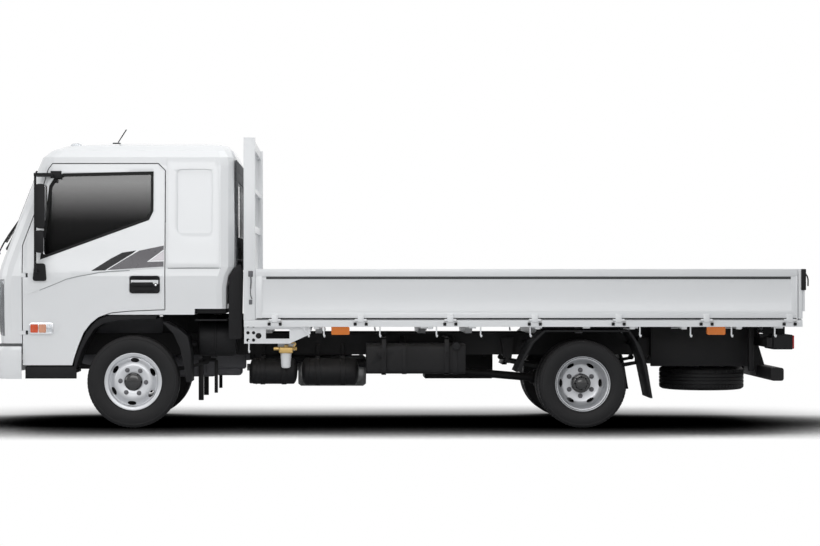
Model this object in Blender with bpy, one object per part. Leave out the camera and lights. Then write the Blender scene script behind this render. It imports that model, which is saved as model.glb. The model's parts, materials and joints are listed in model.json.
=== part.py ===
"""Light flatbed truck with a forward-tilting cab, twin rear tyres, drop sides and a tailgate.

Metres, +Z up. The front points along -X and the ground is z = 0. The origin lies on the ground under the
middle of the truck. Every driving size is a named value below.
"""
import math

import bmesh
import bpy
from mathutils import Matrix, Vector

for old_object in list(bpy.data.objects):
    bpy.data.objects.remove(old_object, do_unlink=True)

# Clearances
SEAT = 0.0003           # between pieces that touch on the real truck
SHUT_GAP = 0.008        # round a door
RUN = 0.0005            # beside a turning pin or barrel

# Overall
LENGTH = 7.004
REAR_X = LENGTH / 2
FRONT_X = -LENGTH / 2

# Axles and wheels
FRONT_AXLE_X = -2.228
WHEELBASE = 3.850
REAR_AXLE_X = FRONT_AXLE_X + WHEELBASE
FRONT_TYRE_RADIUS = 0.395
REAR_TYRE_RADIUS = 0.376
FRONT_TYRE_WIDTH = 0.215
REAR_TYRE_WIDTH = 0.205
FRONT_TRACK = 1.735     # between the middles of the front tyres
REAR_OUTER_Y = 0.8825   # middle of an outer rear tyre
REAR_INNER_Y = 0.6475   # middle of an inner rear tyre
BEAD_RADIUS = 0.222
WHEEL_SIDES = 20
KINGPIN_OFFSET = 0.0875 # from a front tyre's middle in to its kingpin
KINGPIN_Y = FRONT_TRACK / 2 - KINGPIN_OFFSET
KINGPIN_RADIUS = 0.018
SPINDLE_RADIUS = 0.030
REAR_SPINDLE_RADIUS = 0.042
REAR_AXLE_SIDES = 12
STEERING_ARM = 0.130
TIE_ROD_DROP = 0.065    # below the wheel's centre
BALL_STUD_RADIUS = 0.011

# Ladder frame
FRAME_TOP = 0.795
RAIL_HEIGHT = 0.190
RAIL_OUTER_Y = 0.350
RAIL_FLANGE = 0.065
RAIL_WEB = 0.008
FRAME_FRONT_X = -3.260
FRAME_REAR_X = 3.250
SPRING_Y = 0.400
SPRING_WIDTH = 0.070
SPRING_HALF = 0.600
SPRING_PACK = 0.050

# Cab
CAB_PIVOT_X = -3.300
CAB_PIVOT_Z = 0.780
CAB_PIN_RADIUS = 0.015
CAB_WALL = 0.060
CAB_FLOOR_TOP = 1.020
CAB_FLOOR_BOTTOM = 0.970
CAB_BOTTOM = 0.724
CAB_REAR_BOTTOM = 1.020
TUNNEL_HALF = 0.550

# Doors
DOOR_FRONT_X = -3.169
DOOR_REAR_X = -1.957
DOOR_BOTTOM = 0.537
DOOR_TOP = 2.262
DOOR_AXIS_X = -3.155
DOOR_AXIS_Y = 1.004

# Load bed
BED_FRONT_X = -1.175
BED_REAR_X = 3.439
DECK_TOP = 0.940
DECK_BOTTOM = 0.868
DECK_HALF = 1.038
GATE_INNER_Y = 1.045
GATE_THICKNESS = 0.035
GATE_OUTER_Y = GATE_INNER_Y + GATE_THICKNESS
GATE_BOTTOM = 0.937
GATE_TOP = 1.360
GATE_PIVOT_OUT = 0.012  # from the gate's face out to its hinge line
GATE_PIVOT_Z = 0.925
BARREL_RADIUS = 0.011
TAILGATE_GAP = 0.006
HEADBOARD_FRONT_X = -1.278
HEADBOARD_REAR_X = -1.179
HEADBOARD_TOP = 2.480

BODY_PIVOTS = {
    # body: (its parent body, a point on its joint's axis)
    "chassis": (None, (0.0, 0.0, 0.0)),
    "cab": ("chassis", (CAB_PIVOT_X, 0.0, CAB_PIVOT_Z)),
    "door_left": ("cab", (DOOR_AXIS_X, -DOOR_AXIS_Y, DOOR_BOTTOM)),
    "door_right": ("cab", (DOOR_AXIS_X, DOOR_AXIS_Y, DOOR_BOTTOM)),
    "side_left": ("chassis", (0.0, -GATE_OUTER_Y - GATE_PIVOT_OUT, GATE_PIVOT_Z)),
    "side_right": ("chassis", (0.0, GATE_OUTER_Y + GATE_PIVOT_OUT, GATE_PIVOT_Z)),
    "tail": ("chassis", (BED_REAR_X + TAILGATE_GAP + GATE_THICKNESS + GATE_PIVOT_OUT, 0.0, GATE_PIVOT_Z)),
    "knuckle_left": ("chassis", (FRONT_AXLE_X, -KINGPIN_Y, FRONT_TYRE_RADIUS)),
    "knuckle_right": ("chassis", (FRONT_AXLE_X, KINGPIN_Y, FRONT_TYRE_RADIUS)),
    "tie_rod": ("knuckle_left", (FRONT_AXLE_X + STEERING_ARM, -KINGPIN_Y, FRONT_TYRE_RADIUS - TIE_ROD_DROP)),
    "wheel_front_left": ("knuckle_left", (FRONT_AXLE_X, -FRONT_TRACK / 2, FRONT_TYRE_RADIUS)),
    "wheel_front_right": ("knuckle_right", (FRONT_AXLE_X, FRONT_TRACK / 2, FRONT_TYRE_RADIUS)),
    "wheels_rear_left": ("chassis", (REAR_AXLE_X, -REAR_OUTER_Y, REAR_TYRE_RADIUS)),
    "wheels_rear_right": ("chassis", (REAR_AXLE_X, REAR_OUTER_Y, REAR_TYRE_RADIUS)),
}

FINISHES = {
    # finish: (red, green, blue, roughness, metallic)
    "white_paint": (0.80, 0.81, 0.82, 0.30, 0.0),
    "black_paint": (0.02, 0.02, 0.022, 0.45, 0.0),
    "black_plastic": (0.03, 0.03, 0.032, 0.60, 0.0),
    "grey_steel": (0.30, 0.31, 0.33, 0.50, 0.8),
    "tyre_rubber": (0.022, 0.022, 0.024, 0.80, 0.0),
    "wheel_silver": (0.55, 0.56, 0.58, 0.40, 0.7),
    "tinted_glass": (0.03, 0.035, 0.04, 0.05, 0.0),
    "lamp_clear": (0.75, 0.77, 0.80, 0.10, 0.0),
    "lamp_orange": (0.85, 0.25, 0.02, 0.20, 0.0),
    "lamp_red": (0.55, 0.02, 0.02, 0.20, 0.0),
    "seat_cloth": (0.10, 0.10, 0.11, 0.90, 0.0),
    "engine_grey": (0.20, 0.21, 0.22, 0.60, 0.5),
}


def make_finish(name):
    """A Principled material from its row in FINISHES."""
    red, green, blue, roughness, metallic = FINISHES[name]
    material = bpy.data.materials.new(name)
    material.use_nodes = True
    shader = material.node_tree.nodes["Principled BSDF"]
    shader.inputs["Base Color"].default_value = (red, green, blue, 1.0)
    shader.inputs["Roughness"].default_value = roughness
    shader.inputs["Metallic"].default_value = metallic
    return material


MATERIALS = {name: make_finish(name) for name in FINISHES}


def make_pivots():
    """One empty for each body, on the axis of its joint, parented as the bodies are."""
    pivots = {}
    for body, (parent, point) in BODY_PIVOTS.items():
        pivot = bpy.data.objects.new(body + "_pivot", None)
        bpy.context.scene.collection.objects.link(pivot)
        pivot.location = point
        if parent is not None:
            pivot.parent = pivots[parent]
            pivot.location = Vector(point) - Vector(BODY_PIVOTS[parent][1])
        pivots[body] = pivot
    return pivots


PIVOTS = make_pivots()


def to_object(bm, name="form"):
    """A linked object from a bmesh, with its faces pointing out."""
    bmesh.ops.recalc_face_normals(bm, faces=bm.faces[:])
    mesh = bpy.data.meshes.new(name)
    bm.to_mesh(mesh)
    bm.free()
    form = bpy.data.objects.new(name, mesh)
    bpy.context.scene.collection.objects.link(form)
    return form


def skin_rings(rings, twisted=False):
    """A closed solid through rings of equally many points, with flat ends.

    Where the rings twist, each side is split along the same diagonal, so that nested skins stay parallel.
    """
    bm = bmesh.new()
    loops = [[bm.verts.new(point) for point in ring] for ring in rings]
    count = len(loops[0])
    for lower, upper in zip(loops, loops[1:]):
        for index in range(count):
            after = (index + 1) % count
            if twisted:
                bm.faces.new((lower[index], lower[after], upper[after]))
                bm.faces.new((lower[index], upper[after], upper[index]))
            else:
                bm.faces.new((lower[index], lower[after], upper[after], upper[index]))
    bm.faces.new(loops[0])
    bm.faces.new(loops[-1])
    return to_object(bm)


def lift(axis, pair, height):
    """The 3-D point of a flat outline's point: x leaves (y, z), y leaves (x, z), z leaves (x, y)."""
    first, second = pair
    if axis == "x":
        return (height, first, second)
    if axis == "y":
        return (first, height, second)
    return (first, second, height)


def prism(outline, axis, low, high):
    """An outline extruded along an axis from low to high."""
    return skin_rings([[lift(axis, pair, height) for pair in outline] for height in (low, high)])


def box(low, high):
    """A block between two corners."""
    corners = [(low[0], low[1]), (high[0], low[1]), (high[0], high[1]), (low[0], high[1])]
    return prism(corners, "z", low[2], high[2])


def rounded(outline, radius, steps=2):
    """An outline with each corner turned into an arc, no larger than its sides allow."""
    points = [Vector(pair) for pair in outline]
    result = []
    for index, corner in enumerate(points):
        back = points[index - 1] - corner
        ahead = points[(index + 1) % len(points)] - corner
        half = back.angle(ahead) / 2
        reach = min(radius / math.tan(half), back.length * 0.49, ahead.length * 0.49)
        start = corner + back.normalized() * reach
        end = corner + ahead.normalized() * reach
        for step in range(steps + 1):
            share = step / steps
            blend = (1 - share) ** 2 * start + 2 * share * (1 - share) * corner + share ** 2 * end
            result.append(tuple(blend))
    return result


def rectangle(low, high):
    """The corners of an upright rectangle."""
    return [(low[0], low[1]), (high[0], low[1]), (high[0], high[1]), (low[0], high[1])]


def circle(centre, radius, sides, turn=0.0):
    """The corners of a regular outline round a centre."""
    steps = [turn + 2 * math.pi * index / sides for index in range(sides)]
    return [(centre[0] + radius * math.cos(a), centre[1] + radius * math.sin(a)) for a in steps]


def cylinder(centre, radius, axis, low, high, sides=12):
    """A round bar along an axis, its corners on the radius."""
    return prism(circle(centre, radius, sides, math.pi / sides), axis, low, high)


def bore_radius(radius, gap, sides):
    """The corner radius of a faceted bore that leaves a gap all round a shaft."""
    return (radius + gap) / math.cos(math.pi / sides)


def revolve(profile, sides=WHEEL_SIDES):
    """A ring or a wheel turned about the Y axis from a closed profile of (radius, y).

    A flat side faces straight down. Points at radius zero close onto the axis.
    """
    bm = bmesh.new()
    loops = []
    for radius, y in profile:
        if radius == 0.0:
            loops.append([bm.verts.new((0.0, y, 0.0))] * sides)
            continue
        corner = radius / math.cos(math.pi / sides)
        angles = [-math.pi / 2 + math.pi * (2 * index + 1) / sides for index in range(sides)]
        loops.append([bm.verts.new((corner * math.cos(a), y, corner * math.sin(a))) for a in angles])
    for near, far in zip(loops, loops[1:] + loops[:1]):
        for index in range(sides):
            after = (index + 1) % sides
            corners = []
            for vert in (near[index], near[after], far[after], far[index]):
                if vert not in corners:
                    corners.append(vert)
            if len(corners) > 2:
                bm.faces.new(corners)
    return to_object(bm)


def evaluated_mesh(form):
    """The mesh of an object with its modifiers applied, cleared of needle faces."""
    graph = bpy.context.evaluated_depsgraph_get()
    mesh = bpy.data.meshes.new_from_object(form.evaluated_get(graph))
    bm = bmesh.new()
    bm.from_mesh(mesh)
    bmesh.ops.remove_doubles(bm, verts=bm.verts[:], dist=0.000002)
    bmesh.ops.dissolve_degenerate(bm, edges=bm.edges[:], dist=0.000002)
    bm.to_mesh(mesh)
    bm.free()
    return mesh


def combine(target, tools, operation):
    """A Boolean of the target with all the tools at once; the tools are used up."""
    group = bpy.data.collections.new("tools")
    bpy.context.scene.collection.children.link(group)
    for tool in tools:
        group.objects.link(tool)
    modifier = target.modifiers.new("combine", "BOOLEAN")
    modifier.operation = operation
    modifier.operand_type = "COLLECTION"
    modifier.collection = group
    mesh = evaluated_mesh(target)
    target.modifiers.clear()
    target.data = mesh
    for tool in tools:
        bpy.data.objects.remove(tool, do_unlink=True)
    bpy.data.collections.remove(group)
    return target


def fuse(target, *tools):
    """One solid from a solid and those that overlap it."""
    return combine(target, list(tools), "UNION")


def cut(target, *tools):
    """A solid less others."""
    return combine(target, list(tools), "DIFFERENCE")


def overlap(target, tool):
    """What two solids share."""
    modifier = target.modifiers.new("overlap", "BOOLEAN")
    modifier.operation = "INTERSECT"
    modifier.object = tool
    mesh = evaluated_mesh(target)
    target.modifiers.clear()
    target.data = mesh
    bpy.data.objects.remove(tool, do_unlink=True)
    return target


def move(form, offset):
    """Shift a form's mesh."""
    form.data.transform(Matrix.Translation(offset))
    return form


def mirrored(form):
    """A copy of a form on the other side of the truck."""
    other = bpy.data.objects.new(form.name, form.data.copy())
    bpy.context.scene.collection.objects.link(other)
    other.data.transform(Matrix.Scale(-1.0, 4, (0.0, 1.0, 0.0)))
    other.data.flip_normals()
    return other


def finish(form, name, finish_name, body, crease=math.radians(35)):
    """Name a piece, give it its finish, and hang it on its body's pivot."""
    form.name = name
    form.data.name = name
    form.data.materials.clear()
    form.data.materials.append(MATERIALS[finish_name])
    pivot = Vector(BODY_PIVOTS[body][1])
    form.data.transform(Matrix.Translation(-pivot))
    form.data.shade_smooth()
    form.data.set_sharp_from_angle(angle=crease)
    form.parent = PIVOTS[body]
    return form


def finish_pair(form, name, finish_name, body):
    """The left piece and its mirror image on the right; {side} in the names gives the side."""
    other = mirrored(form)
    finish(form, name.format(side="left"), finish_name, body.format(side="left"))
    finish(other, name.format(side="right"), finish_name, body.format(side="right"))


# The cab's outer skin by level: height, front on the middle line, rear, half width, bow of the front,
# radius of the front corners, radius of the rear corners
CAB_LEVELS = (
    (0.500, -3.425, -1.425, 0.974, 0.085, 0.110, 0.060),
    (CAB_BOTTOM, -3.438, -1.425, 0.984, 0.090, 0.115, 0.070),
    (0.950, -3.458, -1.425, 0.996, 0.095, 0.120, 0.080),
    (1.200, -3.473, -1.422, 1.008, 0.100, 0.125, 0.090),
    (1.300, -3.468, -1.400, 1.010, 0.105, 0.130, 0.100),
    (1.376, -3.458, -1.347, 1.003, 0.110, 0.135, 0.130),
    (1.440, -3.440, -1.347, 0.994, 0.115, 0.135, 0.130),
    (2.250, -3.132, -1.350, 0.928, 0.110, 0.120, 0.130),
    (2.320, -3.100, -1.356, 0.912, 0.105, 0.120, 0.130),
    (2.380, -3.020, -1.380, 0.876, 0.095, 0.140, 0.130),
    (2.425, -2.890, -1.420, 0.800, 0.080, 0.160, 0.130),
    (2.450, -2.620, -1.500, 0.640, 0.060, 0.180, 0.130),
    (2.460, -2.300, -1.640, 0.400, 0.030, 0.160, 0.130),
)


def cab_ring(level, inset):
    """The cab's plan at one level as a closed ring, moved inwards by an inset."""
    height, front, rear, half, bow, front_radius, rear_radius = level
    front, rear, half = front + inset, rear - inset, half - inset
    front_radius, rear_radius = max(front_radius - inset, 0.03), max(rear_radius - inset, 0.03)
    flat = half - front_radius
    side = [(front + bow * (share * flat / half) ** 2, share * flat) for share in (0.0, 0.5, 1.0)]
    start_x = side[-1][0]
    for step in range(1, 5):
        angle = math.pi / 2 * step / 4
        side.append((start_x + front_radius * (1 - math.cos(angle)), flat + front_radius * math.sin(angle)))
    for step in range(4):
        angle = math.pi / 2 * step / 3
        side.append((rear - rear_radius * (1 - math.sin(angle)),
                     half - rear_radius * (1 - math.cos(angle))))
    ring = side + [(x, -y) for x, y in reversed(side[1:])]
    return [(x, y, height) for x, y in ring]


def level_at(height):
    """A cab level between two rows of the table, or its lowest row moved down."""
    if height < CAB_LEVELS[0][0]:
        return (height,) + CAB_LEVELS[0][1:]
    for lower, upper in zip(CAB_LEVELS, CAB_LEVELS[1:]):
        if lower[0] <= height <= upper[0]:
            share = (height - lower[0]) / (upper[0] - lower[0])
            return tuple(a + (b - a) * share for a, b in zip(lower, upper))
    return CAB_LEVELS[-1]


def cab_form(inset, bottom, top, lower_roof=0.0):
    """The cab's outline as a solid from bottom to top, moved inwards, its roof lowered if asked."""
    rows = [level_at(bottom)] + [row for row in CAB_LEVELS if bottom < row[0] < top] + [level_at(top)]
    rings = []
    for row in rows:
        ring = cab_ring(row, inset)
        drop = lower_roof if row[0] > 2.3 else 0.0
        rings.append([(x, y, z - drop) for x, y, z in ring])
    return skin_rings(rings, twisted=True)


ROOF_TOP = CAB_LEVELS[-1][0]
HINGE_LEVELS = (0.800, 1.290)
HINGE_HEIGHT = 0.034


def door_hinge_lugs():
    """Hinge lugs on the front posts, two for each door, round the door's axis."""
    lugs = []
    for side in (-1, 1):
        for low in HINGE_LEVELS:
            near, far = sorted((side * (DOOR_AXIS_Y - 0.049), side * (DOOR_AXIS_Y + 0.003)))
            lugs.append(box((DOOR_FRONT_X - 0.035, near, low), (DOOR_AXIS_X + 0.012, far, low + HINGE_HEIGHT)))
    return lugs

# Outlines in side view, as (x, z)
DOOR_EDGE = (
    (DOOR_FRONT_X, DOOR_BOTTOM), (DOOR_FRONT_X, 1.560), (-3.0535, 1.874), (-2.956, 2.215),
    (-2.920, DOOR_TOP), (DOOR_REAR_X - 0.06, DOOR_TOP), (DOOR_REAR_X, DOOR_TOP - 0.06),
    (DOOR_REAR_X, 1.016), (-2.253, 1.004), (-2.416, 0.988), (-2.524, 0.949), (-2.590, 0.895),
    (-2.650, 0.818), (-2.699, 0.698), (-2.732, 0.601), (-2.7495, DOOR_BOTTOM),
)
DOOR_GLASS = (
    (-3.008, 1.456), (-2.990, 1.597), (-2.955, 1.911), (-2.938, 2.068), (-2.895, 2.137),
    (-2.824, 2.169), (-2.065, 2.186), (-2.065, 1.858), (-2.099, 1.788),
)
QUARTER_PANEL = ((-1.848, 1.664), (-1.554, 1.664), (-1.554, 2.216), (-1.848, 2.216))


def round_front_wheel(points):
    """Points in side view at an angle round the front wheel and a clearance from its tyre."""
    outline = []
    for degrees, clearance in points:
        angle, reach = math.radians(degrees), FRONT_TYRE_RADIUS + clearance
        outline.append((FRONT_AXLE_X + reach * math.cos(angle), FRONT_TYRE_RADIUS + reach * math.sin(angle)))
    return outline


ARCH_INNER = round_front_wheel((
    (163.8, 0.1069), (156.1, 0.1104), (149.6, 0.1195), (138.0, 0.1368), (126.0, 0.1671),
    (116.9, 0.1636), (104.2, 0.1466), (86.8, 0.1418), (69.8, 0.1792),
))
FRONT_GUARD_OUTER = round_front_wheel(((61.0, 0.1865), (47.8, 0.2039), (39.7, 0.213), (28.6, 0.1675), (-0.3, 0.105)))
FRONT_GUARD_INNER = round_front_wheel(((63.9, 0.173), (49.9, 0.1423), (35.6, 0.1009), (15.0, 0.0605), (-0.4, 0.062)))


def offset_outline(outline, distance):
    """An outline moved outwards by a distance, corner by corner."""
    points = [Vector(pair) for pair in outline]
    area = sum(a.x * b.y - b.x * a.y for a, b in zip(points, points[1:] + points[:1]))
    turn = 1.0 if area > 0 else -1.0
    moved = []
    for index, corner in enumerate(points):
        into = (corner - points[index - 1]).normalized()
        out = (points[(index + 1) % len(points)] - corner).normalized()
        normal = Vector((into.y + out.y, -into.x - out.x)).normalized() * turn
        cosine = max(normal.dot(Vector((into.y, -into.x)) * turn), 0.5)
        moved.append(tuple(corner + normal * distance / cosine))
    return moved


DASH_REAR_X = -3.020
WINDSCREEN = ((-0.800, 1.520), (0.800, 1.520), (0.745, 2.215), (-0.745, 2.215))
REAR_WINDOW = ((-0.560, 1.640), (0.560, 1.640), (0.560, 2.120), (-0.560, 2.120))
GRILLE_FACE = ((-0.560, 0.800), (0.560, 0.800), (0.520, 1.200), (-0.520, 1.200))
LAMP_FACE = ((-1.100, 0.770), (-0.640, 0.830), (-0.620, 1.100), (-0.680, 1.270), (-1.100, 1.270))
LAMP_REAR_X = -3.330
GLASS_INSET = 0.012
GLASS_THICKNESS = 0.006
LAMP_DEPTH = 0.045
CORNER = 0.030


def cab_shell():
    """Roof, walls and floor in one body, open at the doors, windows, engine tunnel and wheel arches."""
    shell = cab_form(0.0, CAB_BOTTOM, ROOF_TOP)
    room = cab_form(CAB_WALL, CAB_FLOOR_TOP, ROOF_TOP, lower_roof=0.045)
    under_front = cab_form(CAB_WALL, CAB_BOTTOM - 0.1, CAB_FLOOR_BOTTOM)
    cabin_rear = box((-1.7, -1.2, 0.4), (-1.2, 1.2, CAB_REAR_BOTTOM))
    arches = [box((-3.150, side * 1.3 - 0.75, 0.4), (-1.2, side * 1.3 + 0.75, CAB_FLOOR_BOTTOM))
              for side in (-1, 1)]
    opening = offset_outline(DOOR_EDGE, SHUT_GAP)
    doorways = []
    for side in (-1, 1):
        for low, reach in ((CAB_FLOOR_TOP, 0.70), (0.4, 1.010 - CAB_WALL - SHUT_GAP - 0.02)):
            top = 2.4 if low == CAB_FLOOR_TOP else CAB_FLOOR_TOP + 0.001
            tool = prism(opening, "y", *sorted((side * reach, side * 1.2)))
            band = box((-3.4, -1.3, low), (-1.5, 1.3, top))
            doorways.append(overlap(tool, band))
    windscreen = prism(rounded(WINDSCREEN, 0.06), "x", -3.6, -2.98)
    rear_window = prism(rounded(REAR_WINDOW, 0.05), "x", -1.5, -1.2)
    grille = cut(prism(offset_outline(GRILLE_FACE, SEAT), "x", -3.6, -3.2),
                 cab_form(0.030, 0.5, 2.0))
    lamps = []
    for side in (-1, 1):
        face = [(side * y, z) for y, z in offset_outline(LAMP_FACE, 0.002)]
        pocket = prism(face, "x", -3.6, LAMP_REAR_X + 0.002)
        lamps.append(cut(pocket, cab_form(LAMP_DEPTH + SEAT, 0.5, 2.0)))
    quarters = []
    for side in (-1, 1):
        pane = prism(rounded(QUARTER_PANEL, CORNER), "y", *sorted((side * 0.8, side * 1.2)))
        quarters.append(cut(pane, cab_form(0.008, 0.5, 2.4)))
    shell = cut(shell, room, under_front, cabin_rear, *arches)
    shell = cut(shell, *doorways, windscreen, rear_window)
    shell = cut(shell, grille, *lamps, *quarters)
    lugs = []
    for side in (-1, 1):
        low, high = sorted((side * (RAIL_OUTER_Y + 0.005 + RUN), side * (RAIL_OUTER_Y + 0.045)))
        arm = prism(((-3.388, 0.752), (-3.300, 0.752), (-3.300, 0.808), (-3.388, 0.850)), "y", low, high)
        eye = cylinder((CAB_PIVOT_X, CAB_PIVOT_Z), 0.034, "y", low, high, 12)
        bore = cylinder((CAB_PIVOT_X, CAB_PIVOT_Z), bore_radius(CAB_PIN_RADIUS, RUN, 12), "y",
                        low - 0.01, high + 0.01, 12)
        lugs.append(cut(fuse(arm, eye), bore))
    shell = fuse(shell, *lugs, *antenna(), *door_hinge_lugs())
    finish(shell, "cab_shell", "white_paint", "cab")


def cab_pane(outline, axis, low, high, inset, thickness):
    """A pane or cover that follows the cab's skin inside an outline."""
    pane = cut(cab_form(inset, 0.55, 2.35), cab_form(inset + thickness, 0.45, 2.34))
    return overlap(pane, prism(outline, axis, low, high))


def cab_trim():
    """Windows, lamps and the grille, let into the cab's front and rear."""
    pane = cab_pane(offset_outline(rounded(WINDSCREEN, 0.06), -SEAT), "x", -3.6, -2.98,
                    GLASS_INSET, GLASS_THICKNESS)
    finish(pane, "windscreen", "tinted_glass", "cab")
    pane = cab_pane(offset_outline(rounded(REAR_WINDOW, 0.05), -SEAT), "x", -1.5, -1.2,
                    GLASS_INSET, GLASS_THICKNESS)
    finish(pane, "rear_window", "tinted_glass", "cab")
    grille = cab_pane(GRILLE_FACE, "x", -3.6, -3.2, -0.004, 0.034 - SEAT)
    slots = []
    for row in range(5):
        low = 0.835 + row * 0.068
        for column in range(-1, 2):
            middle = column * 0.330
            slots.append(box((-3.6, middle - 0.150, low), (-3.2, middle + 0.150, low + 0.042)))
    finish(cut(grille, *slots), "grille", "black_plastic", "cab")
    lamp = cab_pane(LAMP_FACE, "x", -3.6, LAMP_REAR_X, -0.003, LAMP_DEPTH + 0.003)
    finish_pair(lamp, "headlamp_{side}", "lamp_clear", "cab")


def door():
    """A door as thick as its frame, with its window cut and a handle recess and lamp on its skin."""
    panel = cut(cab_form(0.0, 0.51, 2.35), cab_form(CAB_WALL, 0.45, 2.30))
    panel = overlap(panel, prism(DOOR_EDGE, "y", -1.2, -0.7))
    window = prism(DOOR_GLASS, "y", -1.2, -0.7)
    recess = cut(prism(rounded(rectangle((-2.257, 1.151), (-1.995, 1.303)), 0.02), "y", -1.2, -0.9),
                 cab_form(0.022, 0.5, 2.0))
    pockets = [box((-3.30, -1.10, low - RUN), (DOOR_AXIS_X + 0.030, -0.85, low + HINGE_HEIGHT + RUN))
               for low in HINGE_LEVELS]
    panel = cut(panel, window, recess, *pockets)
    handle = overlap(cut(cab_form(-0.004, 0.6, 2.0), cab_form(0.012, 0.5, 1.99)),
                     box((-2.270, -1.2, 1.232), (-1.990, -0.9, 1.266)))
    lamp = overlap(cut(cab_form(-0.010, 0.6, 2.0), cab_form(0.010, 0.5, 1.99)),
                   prism(rounded(rectangle((-3.108, 0.806), (-2.907, 0.897)), 0.02), "y", -1.2, -0.9))
    panel = fuse(panel, handle, lamp)
    finish_pair(panel, "door_panel_{side}", "white_paint", "door_{side}")
    pane = cab_pane(offset_outline(DOOR_GLASS, -SEAT), "y", -1.2, -0.7, 0.020, GLASS_THICKNESS)
    finish_pair(pane, "door_glass_{side}", "tinted_glass", "door_{side}")


MIRROR_Y = 1.165
MIRROR_ARM = 0.011


def mirror():
    """Two mirror heads on a tube arm between a foot on the door's corner and a bracket at its top."""
    head = prism(rounded(rectangle((-3.029, 1.703), (-2.949, 2.079)), 0.025), "y",
                 -MIRROR_Y - 0.085, -MIRROR_Y + 0.085)
    second = prism(rounded(rectangle((-3.029, 1.497), (-2.960, 1.686)), 0.02), "y",
                   -MIRROR_Y - 0.085, -MIRROR_Y + 0.085)
    post = cylinder((-3.040, -MIRROR_Y), MIRROR_ARM, "z", 1.340, 2.165, 6)
    stems = [box((-3.045, -MIRROR_Y - 0.010, low), (-3.010, -MIRROR_Y + 0.010, low + 0.020))
             for low in (1.580, 1.780, 1.980)]
    upper_y = -level_at(2.165)[3]
    lower_y = -level_at(1.340)[3]
    upper = box((-3.051, -MIRROR_Y - 0.012, 2.150), (-2.905, upper_y - 0.012, 2.174))
    top_foot = box((-2.935, upper_y - 0.030, 2.139), (-2.844, upper_y - 0.0006 + 0.002, 2.200))
    lower = box((-3.051, -MIRROR_Y - 0.012, 1.330), (-3.029, lower_y - 0.015, 1.352))
    foot = prism(rounded(((-3.079, 1.258), (-2.960, 1.258), (-2.975, 1.408), (-3.064, 1.408)), 0.02),
                 "y", lower_y - 0.040, lower_y - 0.009)
    whole = fuse(head, second, post, *stems, upper, top_foot, lower, foot)
    pad_top = cab_form(SEAT, 0.6, 2.35)
    whole = cut(whole, pad_top, cab_form(-SEAT, 0.6, 2.35))
    finish_pair(whole, "mirror_{side}", "black_plastic", "door_{side}")


def step_box():
    """The black step below a door, joined to the wheel arch lining that rides with the cab."""
    outer = level_at(0.53)[3] - 0.004
    skirt = box((-3.150, -outer, 0.422), (-2.715, -outer + 0.045, DOOR_BOTTOM - SHUT_GAP - 0.004))
    tread = box((-3.150, -outer, 0.470), (-2.715, -0.600, 0.500))
    riser = box((-3.150, -0.640, 0.470), (-2.760, -0.600, CAB_FLOOR_BOTTOM - SEAT))
    front = box((-3.150, -0.900, 0.470), (-3.115, -0.600, CAB_FLOOR_BOTTOM - SEAT))
    low_outer = offset_outline(DOOR_EDGE, SHUT_GAP + 0.002)
    lining_top = [(x, min(z, CAB_FLOOR_BOTTOM - SEAT)) for x, z in round_front_wheel((
        (71.9, 0.2416), (92.4, 0.2005), (108.1, 0.210), (117.5, 0.2151), (126.0, 0.2043), (135.5, 0.1827),
        (147.3, 0.1515), (157.5, 0.1398), (169.9, 0.1231)))]
    lining = prism(list(ARCH_INNER) + lining_top, "y", -0.975, -0.580)
    box_and_lining = fuse(skirt, tread, riser, front, lining)
    doorway = prism(low_outer, "y", -1.2, -0.925)
    finish_pair(cut(box_and_lining, doorway), "step_{side}", "black_plastic", "cab")


STEERING_WHEEL_Y = 0.480


def cabin():
    """Dashboard with its column and wheel, a driver's seat and a double seat."""
    front = overlap(cab_form(CAB_WALL + SEAT, 1.20, 2.25), box((-3.5, -1.2, 1.25), (-3.21, 1.2, 1.47)))
    rear = overlap(cab_form(CAB_WALL + 0.022, 1.20, 2.25),
                   prism(((-3.26, 1.22), (DASH_REAR_X - 0.05, 1.22), (DASH_REAR_X, 1.34),
                          (DASH_REAR_X - 0.02, 1.46), (-3.26, 1.47)), "y", -1.2, 1.2))
    column = cylinder((0.0, 0.0), 0.030, "z", -0.16, 0.05, 12)
    hub = cylinder((0.0, 0.0), 0.055, "z", 0.03, 0.07, 12)
    rim = skin_ring((0.0, 0.0, 0.06), 0.195, 0.016)
    spokes = [box((-0.20, -0.018, 0.042), (0.20, 0.018, 0.058)),
              box((-0.018, -0.20, 0.042), (0.018, 0.0, 0.058))]
    steering = fuse(column, hub, rim, *spokes)
    tilt = Matrix.Rotation(math.radians(38), 4, "Y")
    steering.data.transform(Matrix.Translation((-2.950, STEERING_WHEEL_Y, 1.500)) @ tilt)
    finish(fuse(front, rear, steering), "dashboard", "black_plastic", "cab")
    for name, low, high in (("seat_driver", 0.230, 0.780), ("seat_passenger", -0.860, 0.130)):
        base = box((-2.560, low + 0.02, CAB_FLOOR_TOP + SEAT), (-1.960, high - 0.02, 1.280))
        cushion = prism(rounded(rectangle((-2.610, 1.250), (-1.930, 1.400)), 0.04), "y", low, high)
        back = prism(rounded(((-2.060, 1.330), (-1.880, 1.330), (-1.680, 1.930), (-1.790, 1.960)), 0.04),
                     "y", low, high)
        heads = []
        for place in ((low + high) / 2,) if high - low < 0.7 else (low + 0.26, high - 0.26):
            heads.append(prism(rounded(((-1.790, 1.930), (-1.690, 1.910), (-1.640, 2.120),
                                        (-1.730, 2.140)), 0.03), "y", place - 0.13, place + 0.13))
        finish(fuse(base, cushion, back, *heads), name, "seat_cloth", "cab")


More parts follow.
